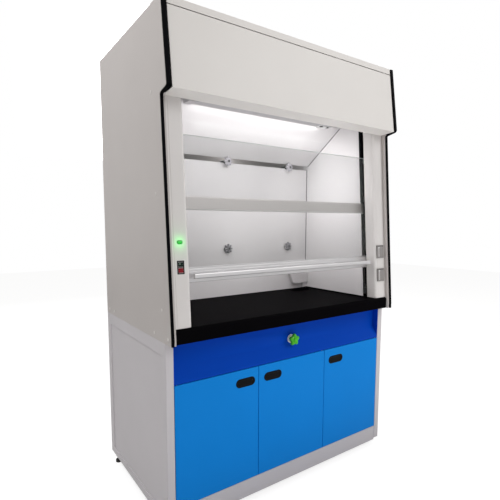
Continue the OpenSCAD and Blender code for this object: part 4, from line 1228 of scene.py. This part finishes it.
class HOOD_OT_rear_covers(HoodStep, bpy.types.Operator):
    """Screws the cover sheets to the back of the hood and the cabinet"""

    bl_idname = "hood.rear_covers"
    bl_label = "Rear Covers"

    def build(self, colours, sizes):
        """Adds the covers with their screws, inside the side panels' back edges."""
        # The covers share the darker copy of the white coat, painted shade
        side = finish_of("Grey powder coat", powder_coat, colours.side)
        zinc = finish_of("Zinc plate")
        covers, screws = [], []
        for node, columns, rows in (("back_panel", 2, 2), ("base_back", 3, 1)):
            low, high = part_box(node)
            margin, gap = 22 * MM, 6 * MM
            face = high.y + sizes.cover_sheet
            width = (high.x - low.x - 2 * margin - (columns - 1) * gap) / columns
            height = (high.z - low.z - 2 * margin - (rows - 1) * gap) / rows
            for c in range(columns):
                for r in range(rows):
                    x0 = low.x + margin + c * (width + gap)
                    z0 = low.z + margin + r * (height + gap)
                    covers.append(rounded_block((x0, high.y - MM, z0),
                                                (x0 + width, face, z0 + height), 0.5 * MM, 2))
                    screws += self.ring_of_screws(x0, z0, width, height, face)
        piece("rear_cover_sheets", *joined(covers), side, "carcass")
        piece("rear_cover_screws", *joined(screws), zinc, "carcass")

    def ring_of_screws(self, x0, z0, width, height, face):
        """Screws round one cover's edge."""
        inset = 14 * MM
        across = [x0 + inset + (width - 2 * inset) * k / 2 for k in range(3)]
        up = [z0 + inset + (height - 2 * inset) * k / 3 for k in range(4)]
        spots = [(x, z) for x in across for z in (up[0], up[-1])]
        spots += [(x, z) for x in (across[0], across[-1]) for z in up[1:-1]]
        head = in_mm((4, -0.5), (4, 0.6), (2.6, 1.6), (0, 1.8))
        return [turned(head, (x, face, z), (0, 1, 0), 14) for x, z in spots]


class HOOD_OT_image_points(HoodStep, bpy.types.Operator):
    """Projects each thing's finished shape into the image, beside its image point"""

    bl_idname = "hood.image_points"
    bl_label = "Image Points"

    # The piece or CAD node whose middle shows at each image point
    shown_by = {
        "indicator_light": "indicator_lens", "rocker_upper": "rocker_upper",
        "rocker_lower": "rocker_lower", "upper_socket": "socket_cover_upper",
        "lower_socket": "socket_cover_lower", "pull_left": "pull_left_cup",
        "pull_middle": "pull_middle_cup", "pull_right": "pull_right_cup",
        "valve_knob": "valve_star", "upper_left_baffle_knob": "baffle_knob_1_star",
        "upper_right_baffle_knob": "baffle_knob_2_star",
        "lower_left_baffle_knob": "baffle_knob_3_star",
        "lower_right_baffle_knob": "baffle_knob_4_star", "lamp_clip": "lamp_clip_body",
        "pilot_dot": "pilot_dot",
    }

    def build(self, colours, sizes):
        """Projects the finished pieces and the outer parts into the image."""
        for name, owner in self.shown_by.items():
            for seen, wanted in zip(zip(*self.spots(owner)), IMAGE_POINTS[name]):
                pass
        outer = [spot for node in ("hood_sides", "edge_trims", "base_sides")
                 for spot in self.spots(node)]

    def spots(self, name):
        """Image places of a piece's or CAD node's finished vertices."""
        item = frame["nodes"].get(name) or bpy.data.objects[name]
        return [image_place(v) for v in finished_shape(item)[0]]


STEPS = (
    HOOD_OT_stage, HOOD_OT_carcass, HOOD_OT_front, HOOD_OT_side_screws, HOOD_OT_worktop,
    HOOD_OT_doors, HOOD_OT_finger_pulls, HOOD_OT_service_panel, HOOD_OT_liner,
    HOOD_OT_baffle_knobs, HOOD_OT_lamp, HOOD_OT_sash, HOOD_OT_fixed_window, HOOD_OT_balance,
    HOOD_OT_switches, HOOD_OT_sockets, HOOD_OT_roof_fittings, HOOD_OT_rear_covers,
    HOOD_OT_image_points,
)


class HOOD_PT_dresser(bpy.types.Panel):
    """Lists the hood's colours, sizes and building steps"""

    bl_idname = "HOOD_PT_dresser"
    bl_label = "Fume Hood"
    bl_space_type = "VIEW_3D"
    bl_region_type = "UI"
    bl_category = "Fume Hood"

    def draw(self, context):
        """Draws the panel."""
        layout = self.layout
        for group in (context.scene.hood_colours, context.scene.hood_sizes):
            box = layout.box()
            for name in group.bl_rna.properties.keys():
                if name not in ("rna_type", "name"):
                    box.prop(group, name)
        for step in STEPS:
            layout.operator(step.bl_idname)


CLASSES = (HoodColours, HoodSizes, *STEPS, HOOD_PT_dresser)


def register():
    """Registers the classes and the scene's properties."""
    for item in CLASSES:
        bpy.utils.register_class(item)
    bpy.types.Scene.hood_colours = PointerProperty(type=HoodColours)
    bpy.types.Scene.hood_sizes = PointerProperty(type=HoodSizes)


def unregister():
    """Takes the properties and classes away again."""
    del bpy.types.Scene.hood_sizes
    del bpy.types.Scene.hood_colours
    for item in reversed(CLASSES):
        bpy.utils.unregister_class(item)


def main():
    """Builds the whole scene."""
    register()
    for step in STEPS:
        group, name = step.bl_idname.split(".")
        getattr(getattr(bpy.ops, group), name)()


if __name__ == "__main__":
    main()
